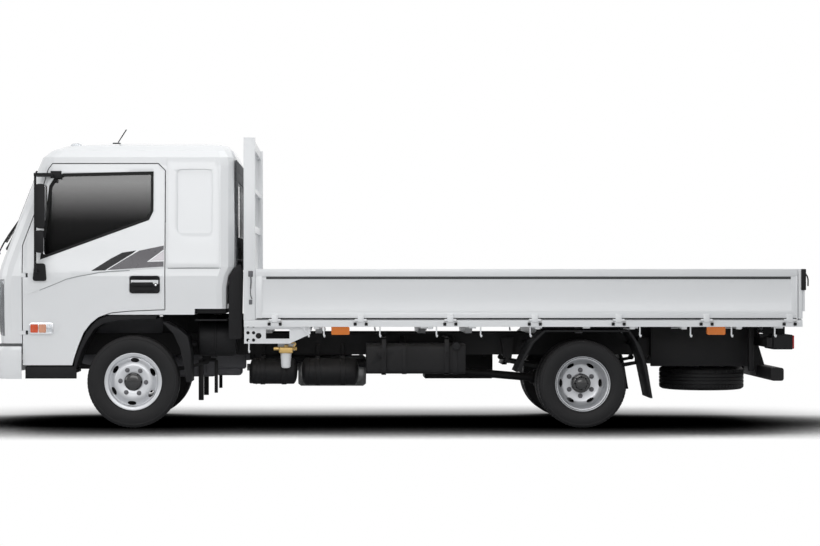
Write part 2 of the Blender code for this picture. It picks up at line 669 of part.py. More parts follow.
def skin_ring(centre, radius, thickness, turns=18, sides=6):
    """A closed ring of round section lying flat."""
    bm = bmesh.new()
    grid = []
    for turn in range(turns):
        around = 2 * math.pi * turn / turns
        row = []
        for side in range(sides):
            angle = 2 * math.pi * side / sides
            reach = radius + thickness * math.cos(angle)
            row.append(bm.verts.new((centre[0] + reach * math.cos(around),
                                     centre[1] + reach * math.sin(around),
                                     centre[2] + thickness * math.sin(angle))))
        grid.append(row)
    for turn in range(turns):
        ahead = (turn + 1) % turns
        for side in range(sides):
            after = (side + 1) % sides
            bm.faces.new((grid[turn][side], grid[turn][after], grid[ahead][after], grid[ahead][side]))
    return to_object(bm)


def antenna():
    """A raked rod and its small base, let into the roof."""
    base_z = 2.450
    foot = box((-2.450, -0.50, base_z - 0.03), (-2.380, -0.46, base_z + 0.020))
    rod = cylinder((0.0, 0.0), 0.0045, "z", 0.0, 0.160, 8)
    rod.data.transform(Matrix.Translation((-2.415, -0.48, base_z)) @
                       Matrix.Rotation(math.radians(32), 4, "Y"))
    return foot, rod


RAIL_BOTTOM = FRAME_TOP - RAIL_HEIGHT
CROSSMEMBERS_X = (-3.200, -0.900, -0.100, 0.700, 1.250, 2.050, 2.800, 3.190)
FRONT_EYES_X = (FRONT_AXLE_X - SPRING_HALF, FRONT_AXLE_X + SPRING_HALF)
REAR_EYES_X = (REAR_AXLE_X - SPRING_HALF, REAR_AXLE_X + SPRING_HALF)
EYE_RADIUS = 0.024
EYE_SIDES = 8
FRONT_EYE_Z = 0.545
REAR_EYE_Z = 0.555
SPARE_X = 2.800
SPARE_TOP = 0.490


def ladder_frame():
    """Two channel rails with crossmembers, spring hangers, cab pivots, lamp bar and underrun guard."""
    channel = ((RAIL_OUTER_Y - RAIL_FLANGE, RAIL_BOTTOM), (RAIL_OUTER_Y, RAIL_BOTTOM),
               (RAIL_OUTER_Y, FRAME_TOP), (RAIL_OUTER_Y - RAIL_FLANGE, FRAME_TOP),
               (RAIL_OUTER_Y - RAIL_FLANGE, FRAME_TOP - RAIL_WEB), (RAIL_OUTER_Y - RAIL_WEB, FRAME_TOP - RAIL_WEB),
               (RAIL_OUTER_Y - RAIL_WEB, RAIL_BOTTOM + RAIL_WEB),
               (RAIL_OUTER_Y - RAIL_FLANGE, RAIL_BOTTOM + RAIL_WEB))
    pieces = []
    for side in (-1, 1):
        pieces.append(prism([(side * y, z) for y, z in channel], "x", FRAME_FRONT_X, FRAME_REAR_X))
    reach = RAIL_OUTER_Y - RAIL_WEB / 2
    for x in CROSSMEMBERS_X:
        pieces.append(box((x - 0.035, -reach, RAIL_BOTTOM + 0.030), (x + 0.035, reach, FRAME_TOP - 0.055)))
    for eyes, eye_z in ((FRONT_EYES_X, FRONT_EYE_Z), (REAR_EYES_X, REAR_EYE_Z)):
        for x in eyes:
            for side in (-1, 1):
                low, high = sorted((side * reach, side * (SPRING_Y + SPRING_WIDTH / 2)))
                seat = eye_z + EYE_RADIUS * math.cos(math.pi / EYE_SIDES) + SEAT
                pieces.append(prism(((x - 0.035, seat), (x + 0.035, seat),
                                     (x + 0.055, FRAME_TOP - 0.04), (x - 0.055, FRAME_TOP - 0.04)),
                                    "y", low, high))
    for side in (-1, 1):
        low, high = sorted((side * (RAIL_OUTER_Y - 0.035), side * (RAIL_OUTER_Y + 0.005)))
        ear = prism(((-3.270, 0.745), (-3.050, 0.680), (-3.050, 0.790), (-3.280, 0.812)), "y", low, high)
        eye = cylinder((CAB_PIVOT_X, CAB_PIVOT_Z), 0.034, "y", low, high, 12)
        pin = cylinder((CAB_PIVOT_X, CAB_PIVOT_Z), CAB_PIN_RADIUS, "y",
                       *sorted((side * (RAIL_OUTER_Y - 0.010), side * (RAIL_OUTER_Y + 0.052))), 12)
        pieces += [ear, eye, pin]
        post = box((-1.600, min(side * 0.300, side * 0.349), FRAME_TOP - 0.10),
                   (-1.520, max(side * 0.300, side * 0.349), CAB_FLOOR_BOTTOM - 0.030))
        pieces.append(post)
        tie = prism(((3.100, 0.700), (3.245, 0.700), (3.300, 0.520), (3.300, 0.410), (3.240, 0.410)), "y",
                    *sorted((side * 0.300, side * 0.344)))
        pieces.append(tie)
    pieces.append(box((-1.590, -0.56, CAB_FLOOR_BOTTOM - 0.060), (-1.530, 0.56, CAB_FLOOR_BOTTOM - 0.020)))
    pieces += valve_box()
    guard = prism(rounded(rectangle((3.235, 0.402), (3.345, 0.514)), 0.02), "y", -0.960, 0.960)
    lamp_bar = box((3.200, -0.960, 0.690), (3.2475, 0.960, 0.770))
    hanger = cylinder((SPARE_X, 0.0), 0.022, "z", SPARE_TOP - REAR_TYRE_WIDTH / 2 + 0.066 + SEAT,
                      RAIL_BOTTOM + 0.060, 12)
    frame = fuse(pieces[0], *pieces[1:], guard, lamp_bar, hanger)
    finish(frame, "ladder_frame", "black_paint", "chassis")


def valve_box():
    """A brake valve box hung beside the left rail on a bent arm."""
    case = prism(rounded(rectangle((-1.245, 0.364), (-1.097, 0.520)), 0.012), "y", -0.640, -0.440)
    arm = box((-1.200, -0.460, 0.480), (-1.140, -RAIL_OUTER_Y + 0.004, 0.515))
    leg = box((-1.200, -RAIL_OUTER_Y - 0.030, 0.480), (-1.140, -RAIL_OUTER_Y + 0.004, 0.700))
    return [case, arm, leg]


def leaf_spring(middle_x, seat_z, eye_z):
    """A curved pack of leaves with an eye at each end; both springs of an axle are made from it."""
    steps = 6
    top, bottom = [], []
    for step in range(steps + 1):
        share = -1 + 2 * step / steps
        height = seat_z + (eye_z - seat_z) * share ** 2
        thick = SPRING_PACK * (1 - 0.62 * abs(share))
        x = middle_x + share * SPRING_HALF
        top.append((x, height + 0.004))
        bottom.append((x, height - thick))
    leaf = prism(bottom + top[::-1], "y", SPRING_Y - SPRING_WIDTH / 2, SPRING_Y + SPRING_WIDTH / 2 - 0.001)
    eyes = [cylinder((middle_x + end * SPRING_HALF, eye_z), EYE_RADIUS, "y",
                     SPRING_Y - SPRING_WIDTH / 2 + 0.001, SPRING_Y + SPRING_WIDTH / 2 - 0.002, EYE_SIDES)
            for end in (-1, 1)]
    clamp = box((middle_x - 0.075, SPRING_Y - 0.045, seat_z - 0.10), (middle_x + 0.075, SPRING_Y + 0.045, seat_z + 0.022))
    return fuse(leaf, *eyes, clamp)


def front_axle():
    """A forged beam that drops in the middle, its kingpin eyes and pins, and its two springs."""
    z = FRONT_TYRE_RADIUS
    end = KINGPIN_Y
    half = ((0.0, z - 0.105), (end - 0.32, z - 0.105), (end - 0.18, z - 0.050), (end - 0.08, z - 0.035),
            (end, z - 0.035), (end, z + 0.035), (end - 0.08, z + 0.035), (end - 0.20, z + 0.030),
            (end - 0.32, z - 0.010), (0.0, z - 0.025))
    outline = list(half) + [(-y, height) for y, height in reversed(half[1:-1])]
    beam = prism(outline, "x", FRONT_AXLE_X - 0.040, FRONT_AXLE_X + 0.040)
    pieces = []
    for side in (-1, 1):
        middle = (FRONT_AXLE_X, side * KINGPIN_Y)
        pieces.append(cylinder(middle, 0.045, "z", z - 0.045, z + 0.045, 12))
        pieces.append(cylinder(middle, KINGPIN_RADIUS, "z", z - 0.071, z + 0.071, 12))
    seat_z = z + 0.075
    spring = leaf_spring(FRONT_AXLE_X, seat_z, FRONT_EYE_Z)
    finish(fuse(beam, *pieces, spring, mirrored(spring)), "front_axle", "black_paint", "chassis")


def rear_axle():
    """A banjo housing with spindles at its ends and two springs above it."""
    z = REAR_TYRE_RADIUS
    profile = ((0.0, -0.850), (REAR_SPINDLE_RADIUS, -0.850), (REAR_SPINDLE_RADIUS, -0.575), (0.062, -0.570),
               (0.062, -0.230), (0.165, -0.090), (0.165, 0.090), (0.062, 0.230), (0.062, 0.570),
               (REAR_SPINDLE_RADIUS, 0.575), (REAR_SPINDLE_RADIUS, 0.850), (0.0, 0.850))
    housing = move(revolve(profile, REAR_AXLE_SIDES), (REAR_AXLE_X, 0.0, z))
    nose = cylinder((0.0, z + 0.01), 0.075, "x", REAR_AXLE_X - 0.330, REAR_AXLE_X, 12)
    spring = leaf_spring(REAR_AXLE_X, z + 0.125, REAR_EYE_Z)
    finish(fuse(housing, nose, spring, mirrored(spring)), "rear_axle", "black_paint", "chassis")


KNUCKLE_PLATE = 0.026


def knuckle():
    """A fork round the kingpin eye, with the wheel's spindle and a steering arm behind it."""
    z = FRONT_TYRE_RADIUS
    eye_top, eye_low = z + 0.045 + RUN, z - 0.045 - RUN
    y = -KINGPIN_Y
    plates = []
    for low, high in ((eye_low - KNUCKLE_PLATE, eye_low), (eye_top, eye_top + KNUCKLE_PLATE)):
        plates.append(cylinder((FRONT_AXLE_X, y), 0.040, "z", low, high, 12))
        plates.append(box((FRONT_AXLE_X - 0.036, y - 0.070, low), (FRONT_AXLE_X + 0.036, y, high)))
    web = box((FRONT_AXLE_X - 0.050, y - 0.078, eye_low - KNUCKLE_PLATE),
              (FRONT_AXLE_X + 0.050, y - 0.052, eye_top + KNUCKLE_PLATE))
    spindle = cylinder((FRONT_AXLE_X, z), SPINDLE_RADIUS, "y", y - 0.150, y - 0.060, 12)
    arm_top = z - TIE_ROD_DROP - 0.014 - RUN
    arm = box((FRONT_AXLE_X, y - 0.020, arm_top - 0.022), (FRONT_AXLE_X + STEERING_ARM, y + 0.020, arm_top))
    arm_neck = box((FRONT_AXLE_X - 0.030, y - 0.030, arm_top - 0.022), (FRONT_AXLE_X + 0.036, y + 0.030, eye_low - 0.020))
    boss = cylinder((FRONT_AXLE_X + STEERING_ARM, y), 0.024, "z", arm_top - 0.022, arm_top, 10)
    stud = cylinder((FRONT_AXLE_X + STEERING_ARM, y), BALL_STUD_RADIUS, "z", arm_top - 0.005, z - TIE_ROD_DROP + 0.020, 10)
    bore = cylinder((FRONT_AXLE_X, y), bore_radius(KINGPIN_RADIUS, RUN, 12), "z", z - 0.0725, z + 0.2, 12)
    return cut(fuse(web, *plates, spindle, arm, arm_neck, boss, stud), bore)


def tie_rod():
    """A rod between the two steering arms; its right end leaves room round its stud."""
    z = FRONT_TYRE_RADIUS - TIE_ROD_DROP
    x = FRONT_AXLE_X + STEERING_ARM
    rod = cylinder((x, z), 0.013, "y", -KINGPIN_Y + 0.020, KINGPIN_Y - 0.030, 8)
    ends = []
    bores = []
    for side, gap in ((-1, RUN), (1, 0.006)):
        radius = bore_radius(BALL_STUD_RADIUS, gap, 10)
        ends.append(cylinder((x, side * KINGPIN_Y), radius + 0.014, "z", z - 0.014, z + 0.014, 10))
        bores.append(cylinder((x, side * KINGPIN_Y), radius, "z", z - 0.1, z + 0.1, 10))
    rod_body = cut(fuse(rod, *ends), *bores)
    finish(rod_body, "tie_rod", "black_paint", "tie_rod")


def tyre_profile(radius, width):
    """Half round shoulders, flat tread and beads, as (radius, y)."""
    half = width / 2
    bead = BEAD_RADIUS + 0.0008
    side = [(bead + share * (radius - bead), half * reach)
            for share, reach in ((0.0, 0.78), (0.48, 0.99), (0.65, 1.0), (0.92, 0.93), (1.0, 0.76))]
    return [(r, -y) for r, y in side] + side[::-1]


FRONT_RIM = (
    # radius and place outwards of the tyre's middle
    (0.0, 0.106), (0.052, 0.106), (0.074, 0.094), (0.090, 0.079), (0.135, 0.083), (0.188, 0.056),
    (0.205, 0.056), (0.214, 0.086), (0.245, 0.094), (BEAD_RADIUS, 0.084), (0.208, 0.040),
    (0.208, -0.040), (BEAD_RADIUS, -0.084), (0.245, -0.094), (0.196, -0.084), (0.190, 0.040),
    (0.150, 0.064), (0.070, 0.050), (0.070, 0.002),
)
REAR_RIM_DISC = 0.765       # from the truck's middle to the face where the twin rims meet


def rim_holes(radius, reach, low, high):
    """Six oval hand holes round a wheel's disc."""
    holes = []
    for index in range(6):
        tool = prism([(x * reach, z * reach * 0.45) for x, z in circle((0, 0), 1.0, 8)], "y", low, high)
        angle = math.pi / 6 + index * math.pi / 3
        tool.data.transform(Matrix.Rotation(-angle, 4, "Y") @ Matrix.Translation((0.0, 0.0, radius)))
        holes.append(tool)
    return holes


def front_rim():
    """A steel wheel with a bulged disc, six hand holes and a hub that turns on the spindle."""
    bore = (SPINDLE_RADIUS + RUN)
    profile = FRONT_RIM + ((bore, 0.002), (bore, 0.064), (0.0, 0.064))
    rim = revolve([(radius, -y) for radius, y in profile])
    return cut(rim, *rim_holes(0.171, 0.038, -0.2, 0.2))


def rear_rim():
    """Two rims bolted face to face on one hub, measured outwards from the truck's middle line."""
    outer, inner = REAR_OUTER_Y, REAR_INNER_Y
    half = REAR_TYRE_WIDTH / 2 * 0.78
    bore = REAR_SPINDLE_RADIUS / math.cos(math.pi / REAR_AXLE_SIDES) + RUN
    disc = REAR_RIM_DISC
    profile = ((0.0, 0.905), (0.055, 0.905), (0.062, 0.855), (0.092, 0.850), (0.097, disc + 0.020),
               (0.165, disc + 0.020), (0.202, disc + 0.045), (0.206, outer + half),
               (0.236, outer + half + 0.009), (BEAD_RADIUS, outer + half), (0.214, outer + half - 0.03),
               (0.214, outer - half + 0.03), (BEAD_RADIUS, outer - half), (BEAD_RADIUS, inner + half),
               (0.214, inner + half - 0.03), (0.214, inner - half + 0.03), (BEAD_RADIUS, inner - half),
               (0.236, inner - half - 0.009), (0.200, inner - half), (0.198, disc - 0.05),
               (0.165, disc - 0.015), (0.085, disc - 0.015), (0.085, 0.600), (bore, 0.600), (bore, 0.851),
               (0.0, 0.851))
    rim = revolve([(radius, -y) for radius, y in profile])
    return cut(rim, *rim_holes(0.160, 0.038, -disc - 0.08, -disc + 0.08))


def wheels():
    """Front wheels on the knuckles, twin rear wheels on the axle, and the spare under the frame."""
    finish_pair(knuckle(), "knuckle_{side}", "black_paint", "knuckle_{side}")
    middle = (FRONT_AXLE_X, -FRONT_TRACK / 2, FRONT_TYRE_RADIUS)
    tyre = move(revolve(tyre_profile(FRONT_TYRE_RADIUS, FRONT_TYRE_WIDTH)), middle)
    finish_pair(tyre, "tyre_front_{side}", "tyre_rubber", "wheel_front_{side}")
    finish_pair(move(front_rim(), middle), "rim_front_{side}", "wheel_silver", "wheel_front_{side}")
    for place, y in (("outer", REAR_OUTER_Y), ("inner", REAR_INNER_Y)):
        tyre = revolve(tyre_profile(REAR_TYRE_RADIUS, REAR_TYRE_WIDTH))
        move(tyre, (REAR_AXLE_X, -y, REAR_TYRE_RADIUS))
        finish_pair(tyre, "tyre_rear_" + place + "_{side}", "tyre_rubber", "wheels_rear_{side}")
    rim = move(rear_rim(), (REAR_AXLE_X, 0.0, REAR_TYRE_RADIUS))
    finish_pair(rim, "rims_rear_{side}", "wheel_silver", "wheels_rear_{side}")
    lie = Matrix.Translation((SPARE_X, 0.0, SPARE_TOP - REAR_TYRE_WIDTH / 2)) @ Matrix.Rotation(-math.pi / 2, 4, "X")
    spare = revolve(tyre_profile(REAR_TYRE_RADIUS, REAR_TYRE_WIDTH))
    spare.data.transform(lie)
    finish(spare, "spare_tyre", "tyre_rubber", "chassis")
    half = REAR_TYRE_WIDTH / 2 * 0.78
    plate = ((0.0, -0.056), (0.150, -0.056), (0.205, half), (0.236, half + 0.009), (BEAD_RADIUS, half),
             (0.214, half - 0.03), (0.214, -half + 0.03), (BEAD_RADIUS, -half), (0.236, -half - 0.009),
             (0.200, -half), (0.150, -0.066), (0.0, -0.066))
    rim = revolve(plate)
    rim.data.transform(lie)
    finish(rim, "spare_rim", "wheel_silver", "chassis")


ENGINE_REAR_X = -1.950
TANK_X = (-0.229, 0.621)
TANK_Z = (0.460, 0.716)
TANK_OUTER_Y = 0.930
TANK_DEPTH = 0.400
STRAPS_X = (0.097, 0.531)


def driveline():
    """Engine block with its gearbox, radiator, propeller shaft and silencer."""
    block = box((-2.760, -0.270, 0.500), (ENGINE_REAR_X, 0.270, 0.930))
    gearbox = prism(rounded(((-0.17, 0.47), (0.17, 0.47), (0.14, 0.76), (-0.14, 0.76)), 0.04), "x",
                    ENGINE_REAR_X - 0.01, -1.300)
    flange = cylinder((0.0, 0.600), 0.060, "x", -1.310, -1.260, 16)
    mounts = [box((-2.420, side * 0.305 - 0.0365, 0.640), (-2.320, side * 0.305 + 0.0365, 0.720)) for side in (-1, 1)]
    finish(fuse(block, gearbox, flange, *mounts), "engine", "engine_grey", "chassis")
    core = box((-3.165 + 0.005, -0.2845, 0.560), (-3.085, 0.2845, 0.930))
    finish(core, "radiator", "black_paint", "chassis")
    start = Vector((-1.2597, 0.0, 0.600))
    end = Vector((REAR_AXLE_X - 0.3303, 0.0, REAR_TYRE_RADIUS + 0.010))
    run = end - start
    rings = []
    for x, radius in ((start.x, 0.058), (start.x + 0.03, 0.058), (start.x + 0.05, 0.036),
                      (end.x - 0.05, 0.036), (end.x - 0.03, 0.058), (end.x, 0.058)):
        height = start.z + run.z * (x - start.x) / run.x
        rings.append([(x, y, z) for y, z in circle((0.0, height), radius, 14)])
    finish(skin_rings(rings), "propeller_shaft", "black_paint", "chassis")


SILENCER_Y = 0.200
SILENCER_Z = 0.440


def silencer():
    """An oval silencer beside the shaft, with pipes and two straps up to a crossmember's foot."""
    oval = [(SILENCER_Y + 0.125 * math.cos(a), SILENCER_Z + 0.140 * math.sin(a))
            for a in (2 * math.pi * i / 20 for i in range(20))]
    rings = []
    for x, scale in ((-0.830, 0.86), (-0.805, 1.0), (-0.240, 1.0), (-0.215, 0.86)):
        rings.append([(x, SILENCER_Y + (y - SILENCER_Y) * scale, SILENCER_Z + (z - SILENCER_Z) * scale)
                      for y, z in oval])
    body = skin_rings(rings)
    inlet = cylinder((SILENCER_Y, SILENCER_Z + 0.03), 0.032, "x", -1.295, -0.80, 12)
    outlet = cylinder((SILENCER_Y, SILENCER_Z), 0.030, "x", -0.25, 0.620, 12)
    turn_out = cylinder((0.600, SILENCER_Z), 0.030, "y", SILENCER_Y - 0.03, 0.820, 12)
    hangers = [box((x - 0.018, SILENCER_Y - 0.010, SILENCER_Z + 0.05), (x + 0.018, SILENCER_Y + 0.010,
                                                                     RAIL_BOTTOM + 0.030 - SEAT))
               for x in (-0.900 + 0.02, -0.260)]
    finish(fuse(body, inlet, outlet, turn_out, *hangers), "silencer", "grey_steel", "chassis")


def fuel_tank():
    """A rounded tank on two brackets with straps, beside the left rail."""
    low_y, high_y = -TANK_OUTER_Y, -TANK_OUTER_Y + TANK_DEPTH
    tank = prism(rounded(rectangle((low_y, TANK_Z[0]), (high_y, TANK_Z[1])), 0.045, 3), "x", *TANK_X)
    straps = [prism(rounded(rectangle((low_y - 0.004, TANK_Z[0] - 0.004), (high_y + 0.004, TANK_Z[1] + 0.004)),
                            0.048, 3), "x", x - 0.020, x + 0.020) for x in STRAPS_X]
    brackets = [prism(((high_y - 0.01, 0.500), (high_y - 0.01, 0.690), (-RAIL_OUTER_Y - SEAT, 0.770),
                       (-RAIL_OUTER_Y - SEAT, 0.630)), "x", x - 0.025, x + 0.025) for x in STRAPS_X]
    cap = cylinder((TANK_X[0] + 0.130, 0.640), 0.038, "y", low_y - 0.020, low_y + 0.010, 16)
    finish(fuse(tank, *straps, *brackets, cap), "fuel_tank", "black_paint", "chassis")


def side_units():
    """Battery box on the right, fuel filter and a valve box on the left, air duct behind the cab."""
    case = prism(rounded(rectangle((-0.900, 0.440), (-0.340, 0.730)), 0.02), "y", 0.520, 0.900)
    lid = prism(rounded(rectangle((-0.915, 0.690), (-0.325, 0.742)), 0.012), "y", 0.510, 0.912)
    arms = [box((x - 0.025, RAIL_OUTER_Y + SEAT, 0.640), (x + 0.025, 0.530, 0.700)) for x in (-0.78, -0.46)]
    finish(fuse(case, lid, *arms), "battery_box", "black_plastic", "chassis")
    head = box((-1.000, -0.470, 0.640), (-0.850, -RAIL_OUTER_Y - SEAT, 0.722))
    cup = cylinder((-0.925, -0.420), 0.046, "z", 0.500, 0.650, 16)
    finish(fuse(head, cup), "fuel_filter", "white_paint", "chassis")
    duct = prism(rounded(((-1.408, 0.760), (-1.300, 0.760), (-1.290, 1.330), (-1.312, 1.420), (-1.408, 1.300)), 0.02),
                 "y", -0.980, -0.800)
    cut_top = cab_form(-0.012, 0.5, 2.25)
    duct = cut(duct, cut_top)
    stay = box((-1.390, -0.820, 0.760), (-1.330, -RAIL_OUTER_Y - SEAT, 0.785))
    finish(fuse(duct, stay), "air_duct", "black_plastic", "chassis")


BUMPER_LEVELS = (
    (0.420, -3.455, -3.0, 0.985, 0.090, 0.130, 0.05),
    (0.470, -3.482, -3.0, 0.998, 0.095, 0.135, 0.05),
    (0.550, FRONT_X, -3.0, 1.005, 0.100, 0.140, 0.05),
    (0.660, FRONT_X, -3.0, 1.005, 0.100, 0.140, 0.05),
    (0.698, FRONT_X + 0.006, -3.0, 1.000, 0.100, 0.140, 0.05),
)
BUMPER_WALL = 0.013
BUMPER_END_X = -3.180


def bumper():
    """A wrapped sheet bumper with lamp windows, on two brackets that lie against the rails."""
    def form(inset, extra):
        rings = []
        for index, row in enumerate(BUMPER_LEVELS):
            shift = -extra if index == 0 else extra if index == len(BUMPER_LEVELS) - 1 else 0.0
            rings.append([(x, y, z + shift) for x, y, z in cab_ring(row, inset)])
        return skin_rings(rings)

    skin = cut(form(0.0, 0.0), form(BUMPER_WALL, 0.02), box((BUMPER_END_X, -1.2, 0.3), (-2.8, 1.2, 0.8)))
    windows = [prism(rounded(rectangle((side * 0.66 - 0.085, 0.520), (side * 0.66 + 0.085, 0.610)), 0.02), "x",
                     -3.6, -3.3) for side in (-1, 1)]
    intake = prism(rounded(rectangle((-0.400, 0.465), (0.400, 0.530)), 0.02), "x", -3.6, -3.3)
    skin = cut(skin, intake, *windows)
    brackets = [prism(((-3.484, 0.540), (-3.240, 0.560), (-3.100, 0.620), (-3.100, 0.700), (-3.235, 0.700),
                       (-3.255, 0.594), (-3.484, 0.594)), "y",
                      *sorted((side * (RAIL_OUTER_Y + 0.005 + SEAT), side * (RAIL_OUTER_Y + 0.016))))
                for side in (-1, 1)]
    finish(fuse(skin, *brackets), "bumper", "white_paint", "chassis")


def band(outer, inner, low, high):
    """A sheet between two lines in side view, from low to high in y."""
    return prism(list(outer) + list(inner)[::-1], "y", low, high)


def mudguards():
    """Rear halves of the front mudguards and the arched guards over the twin wheels, on stays."""
    guard = band(FRONT_GUARD_OUTER, FRONT_GUARD_INNER, -0.985, -0.580)
    behind = FRONT_AXLE_X + FRONT_TYRE_RADIUS
    stay = box((behind + 0.088, -0.600, 0.690), (behind + 0.133, -RAIL_OUTER_Y - SEAT, 0.720))
    foot = box((behind + 0.058, -0.610, 0.690), (behind + 0.133, -0.590, 0.720))
    finish_pair(fuse(guard, stay, foot), "mudguard_front_{side}", "black_plastic", "chassis")
    outer = ((1.050, 0.480), (1.105, 0.600), (1.180, 0.740), (1.289, 0.838), (2.021, 0.838), (2.115, 0.696),
             (2.170, 0.530), (2.216, 0.255))
    inner = ((1.090, 0.480), (1.125, 0.590), (1.200, 0.725), (1.300, 0.822), (2.008, 0.822), (2.060, 0.745),
             (2.128, 0.580), (2.196, 0.255))
    guard = band(outer, inner, -1.000, -0.520)
    stays = [box((x - 0.020, -0.540, 0.700), (x + 0.020, -RAIL_OUTER_Y - SEAT, 0.730)) for x in (1.172, 2.095)]
    finish_pair(fuse(guard, *stays), "mudguard_rear_{side}", "black_plastic", "chassis")


BEARERS_X = (-1.080, -0.640, 0.266, 0.677, 1.240, 1.650, 2.060, 2.480, 2.950, 3.300)
HINGES_X = (-1.012, -0.281, 0.481, 1.200, 1.913, 2.661, 3.368)
TAIL_HINGES_Y = (-0.900, -0.300, 0.300, 0.900)
HINGE_WIDTH = 0.052
SILL_LUG = 0.022
SILL_OUTER_Y = GATE_OUTER_Y
SILL_TOP = 0.926
TAIL_PIVOT_X = BODY_PIVOTS["tail"][1][0]


def lug_profile(pivot, outwards, face):
    """A fixed hinge lug's outline: from the sill's face round the pivot, in (across, height)."""
    arc = [(pivot + outwards * BARREL_RADIUS * math.sin(a), GATE_PIVOT_Z + BARREL_RADIUS * math.cos(a))
           for a in (math.radians(turn) for turn in (0, 60, 120, 180))]
    return [(face - outwards * 0.006, GATE_PIVOT_Z - 0.008)] + arc + [(face - outwards * 0.006, 0.878)]


def gate_lug_profile(pivot, outwards, face):
    """A gate's hinge arm: from its outer face down and round the pivot, in (across, height)."""
    arc = [(pivot + outwards * BARREL_RADIUS * math.cos(a), GATE_PIVOT_Z + BARREL_RADIUS * math.sin(a))
           for a in (math.radians(turn) for turn in (20, -40, -90, -140, 180))]
    return arc + [(face + outwards * 0.0008, GATE_BOTTOM + 0.002), (face - outwards * 0.005, GATE_BOTTOM + 0.004),
                  (face - outwards * 0.005, 0.985), (pivot, 0.972)]


def bed_deck():
    """The floor with its sills, outriggers, hinge lugs and front side plates."""
    floor = box((BED_FRONT_X, -DECK_HALF, DECK_BOTTOM), (BED_REAR_X - 0.003, DECK_HALF, DECK_TOP))
    sill = prism(((-SILL_OUTER_Y, DECK_BOTTOM), (SILL_OUTER_Y, DECK_BOTTOM), (SILL_OUTER_Y, SILL_TOP - 0.018),
                  (SILL_OUTER_Y - 0.006, SILL_TOP), (-SILL_OUTER_Y + 0.006, SILL_TOP),
                  (-SILL_OUTER_Y, SILL_TOP - 0.018)), "x", BED_FRONT_X - 0.1, TAIL_PIVOT_X - GATE_PIVOT_OUT)
    pieces = [sill]
    for x in BEARERS_X:
        low = FRAME_TOP + SEAT
        pieces.append(prism(((-1.000, DECK_BOTTOM + 0.01), (-1.000, 0.852), (-0.520, 0.846), (-0.420, low),
                             (0.420, low), (0.520, 0.846), (1.000, 0.852), (1.000, DECK_BOTTOM + 0.01)), "x",
                            x - 0.030, x + 0.030))
    for side in (-1, 1):
        plate = prism(((-1.275, 0.880), (-0.709, 0.880), (-0.709, 0.8045), (-0.888, 0.723), (-1.275, 0.723)), "y",
                      *sorted((side * 1.000, side * 1.012)))
        window = box((-1.090, min(side * 0.9, side * 1.1), 0.765), (-0.888, max(side * 0.9, side * 1.1), 0.844))
        pieces.append(cut(plate, window))
        pivot_y = side * (GATE_OUTER_Y + GATE_PIVOT_OUT)
        for x in HINGES_X:
            for end in (-1, 1):
                middle = x + end * (HINGE_WIDTH / 2 + RUN + SILL_LUG / 2)
                profile = lug_profile(pivot_y, side, SILL_OUTER_Y)
                pieces.append(prism(profile, "x", middle - SILL_LUG / 2, middle + SILL_LUG / 2))
    for y in TAIL_HINGES_Y:
        for end in (-1, 1):
            middle = y + end * (HINGE_WIDTH / 2 + RUN + SILL_LUG / 2)
            profile = lug_profile(TAIL_PIVOT_X, 1, TAIL_PIVOT_X - GATE_PIVOT_OUT)
            pieces.append(prism(profile, "y", middle - SILL_LUG / 2, middle + SILL_LUG / 2))
    finish(fuse(floor, *pieces), "bed_deck", "white_paint", "chassis")


def side_gates():
    """Drop sides with a recessed outer field, hinged on seven barrels."""
    low_x, high_x = BED_FRONT_X, BED_REAR_X
    panel = prism(rectangle((low_x, GATE_BOTTOM), (high_x, GATE_TOP)), "y", -GATE_OUTER_Y, -GATE_INNER_Y)
    fields = [box((low_x + 0.060, -GATE_OUTER_Y - 0.01, 1.005), (high_x - 0.055, -GATE_OUTER_Y + 0.010, 1.265)),
              box((low_x + 0.060, -GATE_OUTER_Y - 0.01, 1.283), (high_x - 0.055, -GATE_OUTER_Y + 0.006, 1.296))]
    panel = cut(panel, *fields)
    pivot_y = -GATE_OUTER_Y - GATE_PIVOT_OUT
    hardware = []
    for x in HINGES_X:
        hardware.append(prism(gate_lug_profile(pivot_y, -1, -GATE_OUTER_Y), "x", x - HINGE_WIDTH / 2,
                              x + HINGE_WIDTH / 2))
    finish_pair(fuse(panel, *hardware), "dropside_{side}", "white_paint", "side_{side}")


def tailgate():
    """The rear gate, like the drop sides, between them and the rear hinge lugs."""
    front = BED_REAR_X + TAILGATE_GAP
    rear = front + GATE_THICKNESS
    panel = box((front, -GATE_OUTER_Y, GATE_BOTTOM), (rear, GATE_OUTER_Y, GATE_TOP))
    field = box((rear - 0.010, -GATE_OUTER_Y + 0.060, 1.005), (rear + 0.01, GATE_OUTER_Y - 0.060, 1.265))
    groove = box((rear - 0.006, -GATE_OUTER_Y + 0.060, 1.283), (rear + 0.01, GATE_OUTER_Y - 0.060, 1.296))
    panel = cut(panel, field, groove)
    hardware = []
    for y in TAIL_HINGES_Y:
        hardware.append(prism(gate_lug_profile(TAIL_PIVOT_X, 1, rear), "y", y - HINGE_WIDTH / 2,
                              y + HINGE_WIDTH / 2))
    for side in (-1, 1):
        hardware.append(box((rear - 0.005, side * 0.90 - 0.06, 1.275), (rear + 0.020, side * 0.90 + 0.06, 1.345)))
    finish(fuse(panel, *hardware), "tailgate", "white_paint", "tail")


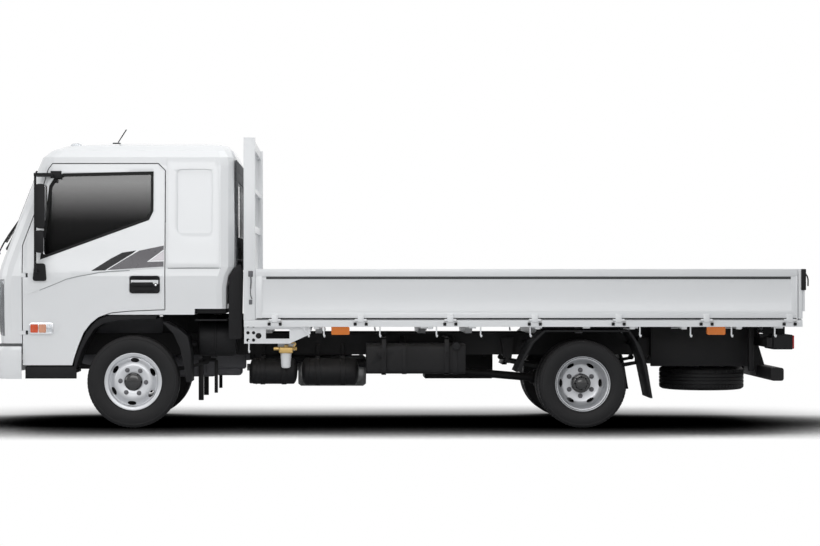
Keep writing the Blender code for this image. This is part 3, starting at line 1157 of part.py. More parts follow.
def headboard():
    """Two posts on the deck's front edge with a panel below and guard bars above."""
    front, rear = HEADBOARD_FRONT_X, HEADBOARD_REAR_X
    floor = SILL_TOP + SEAT
    posts = [prism(rounded(rectangle((front, side * 1.060 - 0.020), (rear, side * 1.060 + 0.020)), 0.006), "z",
                   floor, HEADBOARD_TOP) for side in (-1, 1)]
    middle = (front + rear) / 2
    beams = [box((middle - 0.030, -1.05, low), (middle + 0.030, 1.05, high))
             for low, high in ((floor, 1.000), (1.680, 1.740), (2.030, 2.070), (2.400, HEADBOARD_TOP))]
    panel = box((middle - 0.008, -1.05, 0.980), (middle + 0.008, 1.05, 1.700))
    bars = [cylinder((middle, y), 0.014, "z", 1.690, 2.420, 6) for y in (-0.75, -0.50, -0.25, 0.0, 0.25, 0.50, 0.75)]
    whole = fuse(posts[0], posts[1], *beams, panel, *bars)
    finish(whole, "headboard", "white_paint", "chassis")


def bed_lamps():
    """Orange marker lamps under the sills and box lamps at the rear."""
    for name, x in (("front", -0.453), ("rear", 2.747)):
        lamp = prism(rounded(rectangle((x - 0.078, 0.800), (x + 0.078, DECK_BOTTOM - SEAT)), 0.012), "y", -1.070, -1.020)
        finish_pair(lamp, "marker_lamp_" + name + "_{side}", "lamp_orange", "chassis")
    housing = prism(rounded(rectangle((3.2478, 0.667), (3.428, 0.800)), 0.010), "y", -0.950, -0.560)
    lens = prism(rounded(rectangle((-0.940, 0.677), (-0.570, 0.790)), 0.012), "x", 3.420, 3.440)
    finish_pair(fuse(housing, lens), "tail_lamp_{side}", "lamp_red", "chassis")


cab_shell()
cab_trim()
door()
mirror()
step_box()
cabin()
ladder_frame()
front_axle()
rear_axle()
tie_rod()
wheels()
driveline()
silencer()
fuel_tank()
side_units()
bumper()
mudguards()
bed_deck()
side_gates()
tailgate()
headboard()
bed_lamps()
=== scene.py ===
# %% [markdown]
# # A light flatbed truck with a tilting cab
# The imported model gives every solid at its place. This script gives each one its finish, and models the
# fine forms on it: round tyres and wheels, seals, lamps, hooks, latches and padded seats.

# %% Load the frame
import json
import math

import bmesh
import bpy
from mathutils import Matrix, Vector


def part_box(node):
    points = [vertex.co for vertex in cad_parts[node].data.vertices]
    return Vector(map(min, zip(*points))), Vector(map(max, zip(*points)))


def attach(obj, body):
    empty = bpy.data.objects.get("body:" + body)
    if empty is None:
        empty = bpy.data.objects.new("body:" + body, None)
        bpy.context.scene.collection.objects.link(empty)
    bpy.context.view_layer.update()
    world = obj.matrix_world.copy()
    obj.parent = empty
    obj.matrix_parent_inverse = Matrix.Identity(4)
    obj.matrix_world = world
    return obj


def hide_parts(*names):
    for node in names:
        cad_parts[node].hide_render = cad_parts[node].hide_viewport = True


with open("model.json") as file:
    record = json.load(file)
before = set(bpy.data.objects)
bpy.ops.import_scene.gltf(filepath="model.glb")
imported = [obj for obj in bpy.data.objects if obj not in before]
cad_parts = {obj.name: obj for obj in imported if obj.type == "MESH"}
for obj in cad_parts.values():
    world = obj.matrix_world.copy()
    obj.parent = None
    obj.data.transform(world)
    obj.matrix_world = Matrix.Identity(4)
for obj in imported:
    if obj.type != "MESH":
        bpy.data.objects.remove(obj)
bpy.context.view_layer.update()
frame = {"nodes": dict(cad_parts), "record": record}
BODY_OF = {node: body for body, nodes in frame["record"]["behaviour"]["bodies"].items() for node in nodes}

# %% [markdown]
# The photograph was taken from far off, level, at the height of the belt line. A long lens from 18.7 m keeps
# the perspective that weak, and a sideways shift puts the truck where the picture has it.

# %% Camera
PHOTO_WIDTH = 820                   # pixels
METRE_PER_PIXEL = 0.008556          # at the near wheels
NEAR_PLANE_Y = -0.98               # the near wheels' outer face
CAMERA_DISTANCE = 18.7             # from that plane
LEVEL_POINT = (330, 274)            # the pixel that the camera looks straight at
SENSOR = 36.0

camera = bpy.data.objects.new("camera", bpy.data.cameras.new("camera"))
bpy.context.scene.collection.objects.link(camera)
camera.location = (-0.542, NEAR_PLANE_Y - CAMERA_DISTANCE, 1.326)
camera.rotation_euler = (math.pi / 2, 0.0, 0.0)
camera.data.sensor_width = SENSOR
camera.data.lens = SENSOR * CAMERA_DISTANCE / (PHOTO_WIDTH * METRE_PER_PIXEL)
camera.data.shift_x = (PHOTO_WIDTH / 2 - LEVEL_POINT[0]) / PHOTO_WIDTH
bpy.context.scene.camera = camera
print("lens", round(camera.data.lens, 1), "mm, shift", round(camera.data.shift_x, 3))


# %% [markdown]
# A catalogue picture has the truck on white. The white comes from what the camera sees directly, in glass and
# in gloss, while the lamps stay soft and plain, so that white paint keeps its shades.

# %% Light, world and floor
def node_tools(owner):
    """The nodes of a material or a world, a short way to add one and a short way to wire them."""
    owner.use_nodes = True
    tree = owner.node_tree

    def add(kind, **settings):
        """Add a node. A name in small letters sets a property, and any other name sets an input."""
        node = tree.nodes.new("ShaderNode" + kind)
        for key, value in settings.items():
            if key.islower():
                setattr(node, key, value)
            else:
                node.inputs[key.replace("_", " ")].default_value = value
        return node

    def wire(*links):
        """Each link is a node, its output, the next node and its input."""
        for source, out, target, into in links:
            tree.links.new(source.outputs[out], target.inputs[into])

    return tree.nodes, add, wire


def studio_world():
    """Soft daylight for the truck, and plain white for the camera, the glass and the gloss."""
    world = bpy.data.worlds.new("studio")
    bpy.context.scene.world = world
    nodes, add, wire = node_tools(world)
    nodes.clear()
    light = add("Background", Color=(0.94, 0.97, 1.0, 1.0), Strength=0.34)
    white = add("Background", Color=(1.0, 1.0, 1.0, 1.0))
    path, mix = add("LightPath"), add("MixShader")
    through, seen = add("Math", operation="MAXIMUM"), add("Math", operation="MAXIMUM")
    wire((path, "Is Camera Ray", through, 0), (path, "Is Transmission Ray", through, 1), (through, 0, seen, 0),
         (path, "Is Glossy Ray", seen, 1), (seen, 0, mix, 0), (light, 0, mix, 1), (white, 0, mix, 2),
         (mix, 0, add("OutputWorld"), "Surface"))


def softbox(name, place, aim, size, power):
    lamp = bpy.data.lights.new(name, "AREA")
    lamp.shape = "RECTANGLE"
    lamp.size, lamp.size_y = size
    lamp.energy = power
    holder = bpy.data.objects.new(name, lamp)
    bpy.context.scene.collection.objects.link(holder)
    holder.location = place
    holder.rotation_euler = (Vector(aim) - Vector(place)).to_track_quat("-Z", "Y").to_euler()


studio_world()
softbox("over", (0.0, -1.0, 7.5), (0.0, 0.0, 0.8), (9.0, 5.0), 275)
softbox("side", (-1.5, -10.0, 4.6), (0.0, -1.0, 1.0), (8.0, 4.0), 262)
softbox("front", (-9.5, -3.0, 3.2), (-3.0, 0.0, 1.2), (4.0, 3.0), 80)
softbox("back", (9.0, 6.0, 4.0), (2.0, 0.0, 1.0), (4.0, 3.0), 40)
bpy.context.scene.view_settings.view_transform = "Standard"

bpy.ops.mesh.primitive_plane_add(size=160)
floor = bpy.context.active_object
floor.name = "floor"
floor.data.materials.append(bpy.data.materials.new("floor_white"))
nodes, add, wire = node_tools(floor.data.materials[0])
matt = nodes["Principled BSDF"]
matt.inputs["Base Color"].default_value = (0.9, 0.9, 0.9, 1.0)
matt.inputs["Roughness"].default_value = 0.8
# For the camera the floor is an emission, white in the open and dimmed under the truck by ambient occlusion raised
# to a power that is larger on the near side: a painted shadow.
closeness, painted_shadow_power = add("AmbientOcclusion", Distance=1.5), add("Math", operation="POWER")
spot, depth = add("SeparateXYZ"), add("MapRange", From_Min=-0.4, From_Max=0.8, To_Min=9.5, To_Max=1.8)
painted_shadow_floor, mix = add("Emission"), add("MixShader")
wire((add("TexCoord"), "Object", spot, 0), (spot, "Y", depth, "Value"), (depth, "Result", painted_shadow_power, 1),
     (closeness, "AO", painted_shadow_power, 0), (painted_shadow_power, 0, painted_shadow_floor, "Strength"), (add("LightPath"), "Is Camera Ray", mix, 0),
     (matt, 0, mix, 1), (painted_shadow_floor, 0, mix, 2), (mix, 0, nodes["Material Output"], "Surface"))


# %% [markdown]
# Every finish starts from a Principled shader. Noise on Object coordinates, in metres, changes its colour and
# roughness a little, and a finer noise lifts its surface, as paint, plastic and rubber really do.

# %% A helper for finishes
SLOT_OF = {}            # the slot name of each finish; place() looks it up but gives the piece no slot


def finish(name, slot, colour, roughness, metallic=0.0, coat=0.0, vary=0.06, scale=3.0, grain=0.0,
           grain_scale=400.0, rough_vary=0.08, **sockets):
    """A Principled finish with soft colour and gloss variation and a fine surface grain."""
    material = bpy.data.materials.new(name)
    SLOT_OF[material.name] = slot
    nodes, add, wire = node_tools(material)
    shader = nodes["Principled BSDF"]
    sockets.update(Metallic=metallic, Coat_Weight=coat, Coat_Roughness=0.04)
    for key, value in sockets.items():
        shader.inputs[key.replace("_", " ")].default_value = value
    place, cloud = add("TexCoord"), add("TexNoise", Scale=scale, Detail=6.0, Roughness=0.6)
    ramp = add("MapRange", To_Min=1.0 - vary, To_Max=1.0 + vary)
    gloss = add("MapRange", To_Min=max(roughness - rough_vary, 0.02), To_Max=roughness + rough_vary)
    tint = add("Mix", data_type="RGBA", blend_type="MULTIPLY", Factor=1.0)
    tint.inputs[6].default_value = (*colour, 1.0)
    wire((place, "Object", cloud, "Vector"), (cloud, "Fac", ramp, "Value"), (ramp, "Result", tint, 7),
         (tint, 2, shader, "Base Color"), (cloud, "Fac", gloss, "Value"), (gloss, "Result", shader, "Roughness"))
    if grain:
        fine, bump = add("TexNoise", Scale=grain_scale, Detail=2.0), add("Bump", Strength=grain, Distance=0.001)
        wire((place, "Object", fine, "Vector"), (fine, "Fac", bump, "Height"), (bump, "Normal", shader, "Normal"))
    return material


# %% [markdown]
# Underneath, road dust settles on upward faces. The finish reads the surface's normal and lightens what
# faces up, broken by noise. This does not depend on the view, so it holds from all sides.

# %% Dust on upward faces
def dusty(material, dust=(0.1, 0.09, 0.08), amount=0.35):
    """Lighten a finish with dust where it faces up."""
    nodes, add, wire = node_tools(material)
    shader = nodes["Principled BSDF"]
    base = shader.inputs["Base Color"].links[0].from_node
    split, noise = add("SeparateXYZ"), add("TexNoise", Scale=9.0, Detail=8.0, Roughness=0.7)
    up, patch = add("MapRange", From_Min=-0.2, To_Max=amount), add("Math", operation="MULTIPLY")
    mix = add("Mix", data_type="RGBA")
    mix.inputs[7].default_value = (*dust, 1.0)
    wire((add("TexCoord"), "Object", noise, "Vector"), (add("NewGeometry"), "Normal", split, 0),
         (split, "Z", up, "Value"), (up, "Result", patch, 0), (noise, "Fac", patch, 1), (patch, 0, mix, "Factor"),
         (base, 2, mix, 6), (mix, 2, shader, "Base Color"))
    return material


# %% The finishes
DULL = {"Specular_IOR_Level": 0.2}      # for black surfaces that hardly shine
WHITE = finish("white_paint", "white_paint", (0.8, 0.81, 0.82), 0.3, coat=0.6, vary=0.015, scale=1.4, grain=0.03,
               grain_scale=260.0, rough_vary=0.03)
BED_WHITE = finish("bed_white", "white_paint", (0.78, 0.79, 0.8), 0.36, coat=0.25, vary=0.02, scale=2.2,
                   grain=0.05, grain_scale=180.0, rough_vary=0.05)
CHASSIS = dusty(finish("chassis_black", "black_paint", (0.008, 0.008, 0.009), 0.55, vary=0.25, scale=14.0,
                       grain=0.15, grain_scale=90.0, **DULL))
PLASTIC = finish("moulded_black", "black_plastic", (0.01, 0.01, 0.011), 0.58, vary=0.1, scale=8.0, grain=0.35,
                 grain_scale=900.0, **DULL)
GLOSS_BLACK = finish("gloss_black", "black_plastic", (0.012, 0.012, 0.013), 0.18, coat=0.5, vary=0.05, scale=5.0)
RUBBER = finish("seal_rubber", "black_plastic", (0.012, 0.012, 0.012), 0.62, vary=0.12, scale=30.0, grain=0.2,
                grain_scale=700.0, **DULL)
SILVER = finish("wheel_silver", "wheel_silver", (0.6, 0.61, 0.63), 0.38, metallic=0.55, vary=0.05, scale=12.0,
                grain=0.08, grain_scale=300.0)
ZINC = finish("zinc_plate", "grey_steel", (0.62, 0.62, 0.6), 0.36, metallic=0.9, vary=0.12, scale=40.0, grain=0.1,
              grain_scale=500.0)
CHROME = finish("bright_chrome", "grey_steel", (0.8, 0.81, 0.83), 0.1, metallic=1.0, vary=0.03, scale=20.0)
ALUMINISED = dusty(finish("aluminised_steel", "grey_steel", (0.3, 0.3, 0.3), 0.45, metallic=0.8, vary=0.2,
                          scale=18.0))
CAST = dusty(finish("cast_grey", "engine_grey", (0.13, 0.13, 0.14), 0.6, metallic=0.4, vary=0.2, scale=25.0,
                    grain=0.3, grain_scale=160.0))
BRASS = finish("brass", "grey_steel", (0.62, 0.42, 0.16), 0.32, metallic=0.9, vary=0.12, scale=60.0)
CLOTH = finish("seat_cloth", "seat_cloth", (0.055, 0.055, 0.06), 0.92, vary=0.25, scale=120.0, grain=0.6,
               grain_scale=1400.0)
TYRE = dusty(finish("tyre_rubber", "tyre_rubber", (0.013, 0.013, 0.014), 0.6, vary=0.18, scale=22.0, grain=0.25,
                    grain_scale=350.0, **DULL), dust=(0.1, 0.09, 0.085), amount=0.25)
print("finishes", len(SLOT_OF))


# %% [markdown]
# Clear and coloured lamp covers are thin plastic: transmission with a low roughness lets the bowl behind show.
# The windows are tinted glass over a dark cabin. Towards the roof their base colour is paler, a painted reflection
# of the bright top of the studio, and their IOR rises so that they mirror more; both values follow the height.

# %% Glass and lamp covers
def glassy(name, slot, colour, roughness, transmission, ribs=0.0, rib_scale=90.0):
    """A see-through cover, with optional moulded ribs as a bump."""
    material = finish(name, slot, colour, roughness, vary=0.03, scale=6.0, rough_vary=0.01,
                      Transmission_Weight=transmission, IOR=1.49)
    if ribs:
        nodes, add, wire = node_tools(material)
        wave, bump = add("TexWave", Scale=rib_scale, bands_direction="Z"), add("Bump", Strength=ribs, Distance=0.002)
        wire((add("TexCoord"), "Object", wave, "Vector"), (wave, "Fac", bump, "Height"),
             (bump, "Normal", nodes["Principled BSDF"], "Normal"))
    return material


GLASS = glassy("tinted_glass", "glass", (0.03, 0.036, 0.04), 0.03, 0.5)
nodes, add, wire = node_tools(GLASS)
height, shader = add("SeparateXYZ"), nodes["Principled BSDF"]
# The base colour grows paler with height: a painted reflection.
painted_reflection_tint = add("MapRange", From_Min=1.45, From_Max=2.2, To_Min=0.0005, To_Max=0.075)
mirroring = add("MapRange", From_Min=1.76, From_Max=2.1, To_Min=1.06, To_Max=1.72)
wire((add("TexCoord"), "Object", height, 0), (height, "Z", painted_reflection_tint, "Value"), (height, "Z", mirroring, "Value"),
     (painted_reflection_tint, "Result", shader, "Base Color"), (mirroring, "Result", shader, "IOR"))
CLEAR = glassy("lamp_clear", "lamp_clear", (0.9, 0.92, 0.94), 0.04, 0.85)
ORANGE = glassy("lamp_orange", "lamp_orange", (0.9, 0.24, 0.02), 0.14, 0.25, ribs=0.5)
RED = glassy("lamp_red", "lamp_red", (0.62, 0.02, 0.02), 0.12, 0.25, ribs=0.5)
print("finishes with glass", len(SLOT_OF))

# %% [markdown]
# A node that is right already keeps its mesh and takes its real finish. The table goes from the finish to the
# nodes that have it, and an asterisk stands for left and for right.

# %% Finishes of the nodes
def nodes_in(line):
    """The names in a line, and a name with an asterisk twice: for the left and for the right."""
    return [name.replace("*", side) for name in line.split() for side in ("left", "right")[:1 + ("*" in name)]]


NODE_FINISH = (
    (WHITE, "cab_shell door_panel_* bumper"),
    (BED_WHITE, "bed_deck headboard tailgate dropside_* fuel_filter"),
    (CHASSIS, "ladder_frame front_axle rear_axle knuckle_* tie_rod propeller_shaft radiator fuel_tank"),
    (PLASTIC, "air_duct battery_box dashboard grille mirror_* mudguard_front_* mudguard_rear_* step_*"),
    (SILVER, "rim_front_* rims_rear_* spare_rim"),
    (TYRE, "tyre_front_* tyre_rear_inner_* tyre_rear_outer_* spare_tyre"),
    (GLASS, "windscreen rear_window door_glass_*"),
    (CLEAR, "headlamp_*"),
    (ORANGE, "marker_lamp_front_* marker_lamp_rear_*"),
    (RED, "tail_lamp_*"),
    (CAST, "engine"),
    (ALUMINISED, "silencer"),
    (CLOTH, "seat_driver seat_passenger"),
)
for material, line in NODE_FINISH:
    for node in nodes_in(line):
        for slot in frame["nodes"][node].material_slots:
            slot.material = material
print("nodes with a finish", sum(len(nodes_in(line)) for _, line in NODE_FINISH))

# %% [markdown]
# By hand, a turned form starts as one vertex that is extruded from point to point into a half section, and
# is then spun about the axle. It is quicker and cleaner than bending a cylinder, because each rib, bead and
# lip is only a point in the section. The helpers below do these steps and settle a finished piece.

# %% Helpers for modelling
def fresh(piece=None):
    """Deselect everything, so that an operator acts on the new form alone, or on the piece that is given."""
    if bpy.context.object and bpy.context.object.mode == "EDIT":
        bpy.ops.object.mode_set(mode="OBJECT")
    bpy.ops.object.select_all(action="DESELECT")
    if piece:
        piece.select_set(True)
        bpy.context.view_layer.objects.active = piece


def edit(piece):
    """Open a piece in edit mode with all of it selected."""
    fresh(piece)
    bpy.ops.object.mode_set(mode="EDIT")
    bpy.ops.mesh.select_all(action="SELECT")


def settle():
    """Make an object's place, turn and size part of its mesh."""
    bpy.ops.object.transform_apply(location=True, rotation=True, scale=True)
    return bpy.context.active_object


def pick(piece, kind, test):
    """In edit mode, select the edges or faces that pass a test and nothing else."""
    bpy.ops.mesh.select_all(action="DESELECT")
    bm = bmesh.from_edit_mesh(piece.data)
    for part in getattr(bm, kind):
        if test(part):
            part.select_set(True)
    bmesh.update_edit_mesh(piece.data)


def trace(points):
    """Draw an open chain of edges by extruding one vertex from point to point, and stay in edit mode."""
    fresh()
    bpy.ops.mesh.primitive_plane_add(size=0.002, location=points[0])
    edit(settle())
    bpy.ops.mesh.merge(type="CENTER")
    for start, end in zip(points, points[1:]):
        bpy.ops.mesh.extrude_vertices_move(TRANSFORM_OT_translate={"value": Vector(end) - Vector(start)})
    return bpy.context.active_object


def merge_doubles(threshold=0.00002):
    bpy.ops.mesh.select_all(action="SELECT")
    bpy.ops.mesh.remove_doubles(threshold=threshold)


def clean_up(threshold=0.00002):
    """Merge doubles and point the faces outwards, in edit mode, then leave it."""
    merge_doubles(threshold)
    bpy.ops.mesh.normals_make_consistent(inside=False)
    bpy.ops.object.mode_set(mode="OBJECT")


def spin(steps, angle=math.tau, **settings):
    """Spin what is selected about the Y axis."""
    bpy.ops.mesh.spin(steps=steps, angle=angle, center=(0.0, 0.0, 0.0), axis=(0.0, 1.0, 0.0), **settings)


def turned(section, steps=72, closed=False):
    """Spin a half section of (radius, y) points about the Y axis."""
    section = list(section) + ([section[0]] if closed else [])
    piece = trace([(radius, y, 0.0) for radius, y in section])
    bpy.ops.mesh.select_all(action="SELECT")
    spin(steps)
    clean_up()
    return piece


def apply_modifier(piece, kind, **settings):
    """Add a modifier, set it and apply it."""
    fresh(piece)
    modifier = piece.modifiers.new(kind.lower(), kind)
    for key, value in settings.items():
        setattr(modifier, key, value)
    bpy.ops.object.modifier_apply(modifier=modifier.name)
    return piece


def bevelled(piece, width, segments=2, limit=30.0):
    """Round the edges that are sharper than the limit, in degrees."""
    return apply_modifier(piece, "BEVEL", width=width, segments=segments, limit_method="ANGLE",
                          angle_limit=math.radians(limit))


def cut(piece, cutter):
    """Take one form away from another, and the cutter with it."""
    apply_modifier(piece, "BOOLEAN", object=cutter, operation="DIFFERENCE", solver="EXACT")
    bpy.data.objects.remove(cutter)


def joined(pieces):
    """Make one mesh of several."""
    fresh()
    for piece in pieces:
        piece.select_set(True)
    bpy.context.view_layer.objects.active = pieces[0]
    bpy.ops.object.join()
    return pieces[0]


def copied(piece, matrix):
    """A copy with its own mesh, moved in its mesh; a mirrored one is turned right side out again."""
    twin = piece.copy()
    twin.data = piece.data.copy()
    bpy.context.scene.collection.objects.link(twin)
    twin.data.transform(matrix)
    if matrix.determinant() < 0.0:
        twin.data.flip_normals()
    return twin


def ring_of(piece, count, start=0.0):
    """Copies of a piece round the Y axis, in a list. The piece itself goes."""
    ring = [copied(piece, Matrix.Rotation(start + index * math.tau / count, 4, "Y")) for index in range(count)]
    bpy.data.objects.remove(piece)
    return ring


def moved(piece, spot, quarters=0, axis="X"):
    """Turn a mesh by quarter turns about an axis, then move it to its spot."""
    piece.data.transform(Matrix.Translation(spot) @ Matrix.Rotation(quarters * math.pi / 2, 4, axis))
    return piece


def drum(sides, radius, depth, middle):
    """A cylinder along Y."""
    fresh()
    bpy.ops.mesh.primitive_cylinder_add(vertices=sides, radius=radius, depth=depth, location=middle,
                                        rotation=(math.pi / 2, 0.0, 0.0))
    return bpy.context.active_object


def place(piece, name, material, body, slot=None, smooth=32.0):
    """Name a finished piece, give it its finish and let it ride on its body."""
    fresh(piece)
    settle()
    piece.name = piece.data.name = name
    piece.data.materials.clear()
    piece.data.materials.append(material)
    bpy.ops.object.shade_smooth_by_angle(angle=math.radians(smooth))
    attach(piece, body)
    slot or SLOT_OF[material.name]
    return piece


FAR_SIDE = Matrix.Scale(-1.0, 4, (0.0, 1.0, 0.0))       # from the near side of the truck to the far one
SIDES = (("left", Matrix.Identity(4)), ("right", FAR_SIDE))


def both_sides(rough, name, material, body, slot=None, smooth=32.0):
    """Place a near side piece and its mirror image on the far side."""
    for side, turn in SIDES:
        place(copied(rough, turn), f"{name}_{side}", material, body.format(side=side), slot, smooth)
    bpy.data.objects.remove(rough)


print("helpers ready")

# %% [markdown]
# A tyre is one short pitch of its tread, a block and the slot after it, repeated round the wheel. The section
# has the bead, the bulging wall with its rubbing rib, the shoulder and four grooves. Two short spins make the
# pitch, the slot's faces are pushed in, and spin with duplicates sets 72 of them round. The spread and the
# heights are shares of the tyre's own, so front and rear come from one section.

# %% Tyres
BEAD_RADIUS = 0.2235
TREAD_PITCHES = 72
BLOCK_SHARE = 0.78              # of a pitch, and the slot takes the rest
SLOT_DEPTH = 0.006
WALL = (                        # share of the height from bead to tread, share of the half width
    (0.0, 0.76), (0.07, 0.8), (0.11, 0.845), (0.155, 0.865), (0.175, 0.85), (0.24, 0.895), (0.33, 0.95),
    (0.45, 0.985), (0.56, 1.0), (0.66, 0.995), (0.75, 0.975), (0.8, 0.955), (0.815, 0.965), (0.845, 0.96),
    (0.86, 0.935), (0.91, 0.9), (0.955, 0.845), (0.985, 0.79), (0.997, 0.735),
)
TREAD = (                       # share of the half width, depth in metres
    (0.51, 0.0), (0.495, 0.01), (0.445, 0.01), (0.43, 0.0), (0.18, 0.0), (0.165, 0.01), (0.115, 0.01), (0.1, 0.0),
)


def tyre_section(radius, half):
    """The section of a tyre from its inner bead over the tread to its outer bead."""
    rise = radius - BEAD_RADIUS
    side = [(BEAD_RADIUS + share * rise, half * width) for share, width in WALL]
    side += [(radius - depth, half * width) for width, depth in TREAD]
    return side + [(r, -y) for r, y in reversed(side)]


def tyre(radius, width):
    """One pitch of the tread, spun round with duplicates."""
    half = width / 2
    piece = trace([(r, y, 0.0) for r, y in tyre_section(radius, half)])
    pitch = math.tau / TREAD_PITCHES

    def turn_of(co):
        return abs(math.atan2(co.z, co.x))

    def in_slot(face):
        middle = face.calc_center_median()
        return (turn_of(middle) > pitch * BLOCK_SHARE and middle.x > radius - 2 * SLOT_DEPTH
                and 0.52 < abs(middle.y) / half < 0.93)

    for share in (BLOCK_SHARE, 1.0 - BLOCK_SHARE):
        bm = bmesh.from_edit_mesh(piece.data)
        last = max(turn_of(vertex.co) for vertex in bm.verts)
        pick(piece, "edges", lambda edge: all(abs(turn_of(vertex.co) - last) < 1e-4 for vertex in edge.verts))
        spin(1, pitch * share)
    bpy.ops.mesh.select_mode(type="FACE")
    pick(piece, "faces", in_slot)
    bpy.ops.mesh.extrude_region_move()
    shrink = (radius - SLOT_DEPTH) / radius
    bpy.ops.transform.resize(value=(shrink, 0.985, shrink), center_override=(0.0, 0.0, 0.0))
    bpy.ops.mesh.select_mode(type="VERT")
    bpy.ops.mesh.select_all(action="SELECT")
    spin(TREAD_PITCHES, dupli=True)
    clean_up(0.0002)
    return piece


FRONT_RADIUS, REAR_RADIUS, REAR_X = 0.395, 0.376, 1.622
FRONT_WHEEL = Matrix.Translation((-2.228, -0.8675, FRONT_RADIUS))
SPARE = Matrix.Translation((2.8, 0.0, 0.3875)) @ Matrix.Rotation(-math.pi / 2, 4, "X")
front_tyre, rear_tyre = tyre(FRONT_RADIUS, 0.215), tyre(REAR_RADIUS, 0.205)
for side, turn in SIDES:
    piece = place(copied(front_tyre, turn @ FRONT_WHEEL), f"tread_front_{side}", TYRE, f"wheel_front_{side}")
    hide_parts(f"tyre_front_{side}")
    for row, y in (("outer", -0.8825), ("inner", -0.6475)):
        at = turn @ Matrix.Translation((REAR_X, y, REAR_RADIUS))
        piece = place(copied(rear_tyre, at), f"tread_rear_{row}_{side}", TYRE, f"wheels_rear_{side}")
        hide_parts(f"tyre_rear_{row}_{side}")
piece = place(copied(rear_tyre, SPARE), "tread_spare", TYRE, "chassis")
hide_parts("spare_tyre")
print("triangles of a tyre", sum(len(face.vertices) - 2 for face in front_tyre.data.polygons))
for rough in (front_tyre, rear_tyre):
    bpy.data.objects.remove(rough)

# %% [markdown]
# A steel rim is pressed from sheet: a rolled lip, a well, and a disc with six oval hand holes between its
# bolts. The section is spun closed, the holes are cut with one boolean, and a bevel rounds what it cut. The
# front disc bulges out under a black cap, and the rear one is a deep dish, because it is the same wheel
# turned round so that twin tyres can sit side by side.

# %% Steel rims
HUB_BOLTS = 6


def oval_cutters(radius, half_long, half_tall, low, high, turn):
    """Six oval bars round the axle, as one cutter."""
    bar = drum(28, 1.0, high - low, (0.0, (low + high) / 2, radius))
    bar.scale = (half_long, half_tall, 1.0)
    return joined(ring_of(settle(), HUB_BOLTS, turn))


def pressed_rim(section, holes):
    """A closed section spun into a rim, with its hand holes cut and their edges rounded."""
    rim = turned([(r, -y) for r, y in section], steps=84, closed=True)
    cut(rim, oval_cutters(*holes))
    return bevelled(rim, 0.0022, limit=50.0)


def nut_ring(radius, base, turn, size=0.0165):
    """Six flanged hexagon nuts on their studs, looking out along -Y."""
    nut = drum(6, size, 0.018, (0.0, -base - 0.011, radius))
    edit(nut)
    pick(nut, "faces", lambda face: face.normal.z > 0.9)
    bpy.ops.mesh.inset(thickness=0.006, depth=0.0)
    bpy.ops.mesh.extrude_region_shrink_fatten(TRANSFORM_OT_shrink_fatten={"value": 0.008})
    bpy.ops.object.mode_set(mode="OBJECT")
    settle()
    flange = turned([(0.0, 0.0), (0.021, 0.0), (0.021, -0.002), (0.016, -0.005), (0.0, -0.005)], steps=18)
    return joined(ring_of(joined([bevelled(nut, 0.0012), moved(flange, (0.0, -base, radius))]), HUB_BOLTS, turn))


FRONT_SECTION = (       # radius, and distance out from the tyre's middle
    (0.03, 0.066), (0.078, 0.074), (0.086, 0.079), (0.1, 0.08), (0.122, 0.0835), (0.138, 0.085),
    (0.152, 0.0825), (0.163, 0.075), (0.174, 0.064), (0.19, 0.052), (0.203, 0.047), (0.208, 0.05), (0.21, 0.058),
    (0.2125, 0.073), (0.216, 0.081), (0.224, 0.086), (0.231, 0.0875), (0.238, 0.0905), (0.2425, 0.0935),
    (0.2455, 0.093), (0.2465, 0.0905), (0.244, 0.0885), (0.238, 0.0865), (0.228, 0.084), (0.2228, 0.082),
    (0.2215, 0.06), (0.212, 0.048), (0.212, -0.04), (0.2215, -0.06), (0.2228, -0.082), (0.245, -0.0915),
    (0.243, -0.0935), (0.216, -0.08), (0.208, -0.05), (0.207, 0.03), (0.196, 0.043), (0.168, 0.06),
    (0.15, 0.073), (0.12, 0.075), (0.086, 0.07), (0.03, 0.06),
)
REAR_DISC = 0.785       # out from the truck's middle line
REAR_SECTION = (        # radius, and distance out from the truck's middle line
    (0.06, 0.783), (0.1, REAR_DISC), (0.15, REAR_DISC), (0.164, 0.79), (0.178, 0.802), (0.19, 0.812),
    (0.198, 0.822), (0.202, 0.84), (0.205, 0.9), (0.207, 0.935), (0.211, 0.948), (0.219, 0.957), (0.226, 0.96),
    (0.232, 0.966), (0.2355, 0.9705), (0.2365, 0.968), (0.235, 0.965), (0.223, 0.958), (0.2215, 0.935),
    (0.213, 0.92), (0.213, 0.84), (0.2215, 0.828), (0.2228, 0.806), (0.2345, 0.799), (0.2345, 0.794),
    (0.216, 0.785), (0.208, 0.772), (0.2228, 0.727), (0.2215, 0.705), (0.213, 0.69), (0.213, 0.6),
    (0.2215, 0.59), (0.2228, 0.568), (0.236, 0.56), (0.234, 0.559), (0.212, 0.57), (0.205, 0.6),
    (0.2, 0.7), (0.186, 0.742), (0.16, 0.757), (0.1, 0.757), (0.06, 0.757),
)
front_rim = pressed_rim(FRONT_SECTION, (0.1845, 0.037, 0.0185, -0.12, -0.02, math.radians(4)))
rear_rim = pressed_rim(REAR_SECTION, (0.17, 0.036, 0.016, -0.86, -0.7, math.radians(30)))
front_nuts = nut_ring(0.111, 0.0805, math.radians(33))
rear_nuts = nut_ring(0.111, REAR_DISC, 0.0)
print("rim faces", len(front_rim.data.polygons), len(rear_rim.data.polygons))

# %% [markdown]
# The front hub wears a smooth black cap, and the rear one the end of its driven axle: a cast drum, a flange
# with eight bolts and a small dome. Both are turned, and the flange's bolts are copies of one.

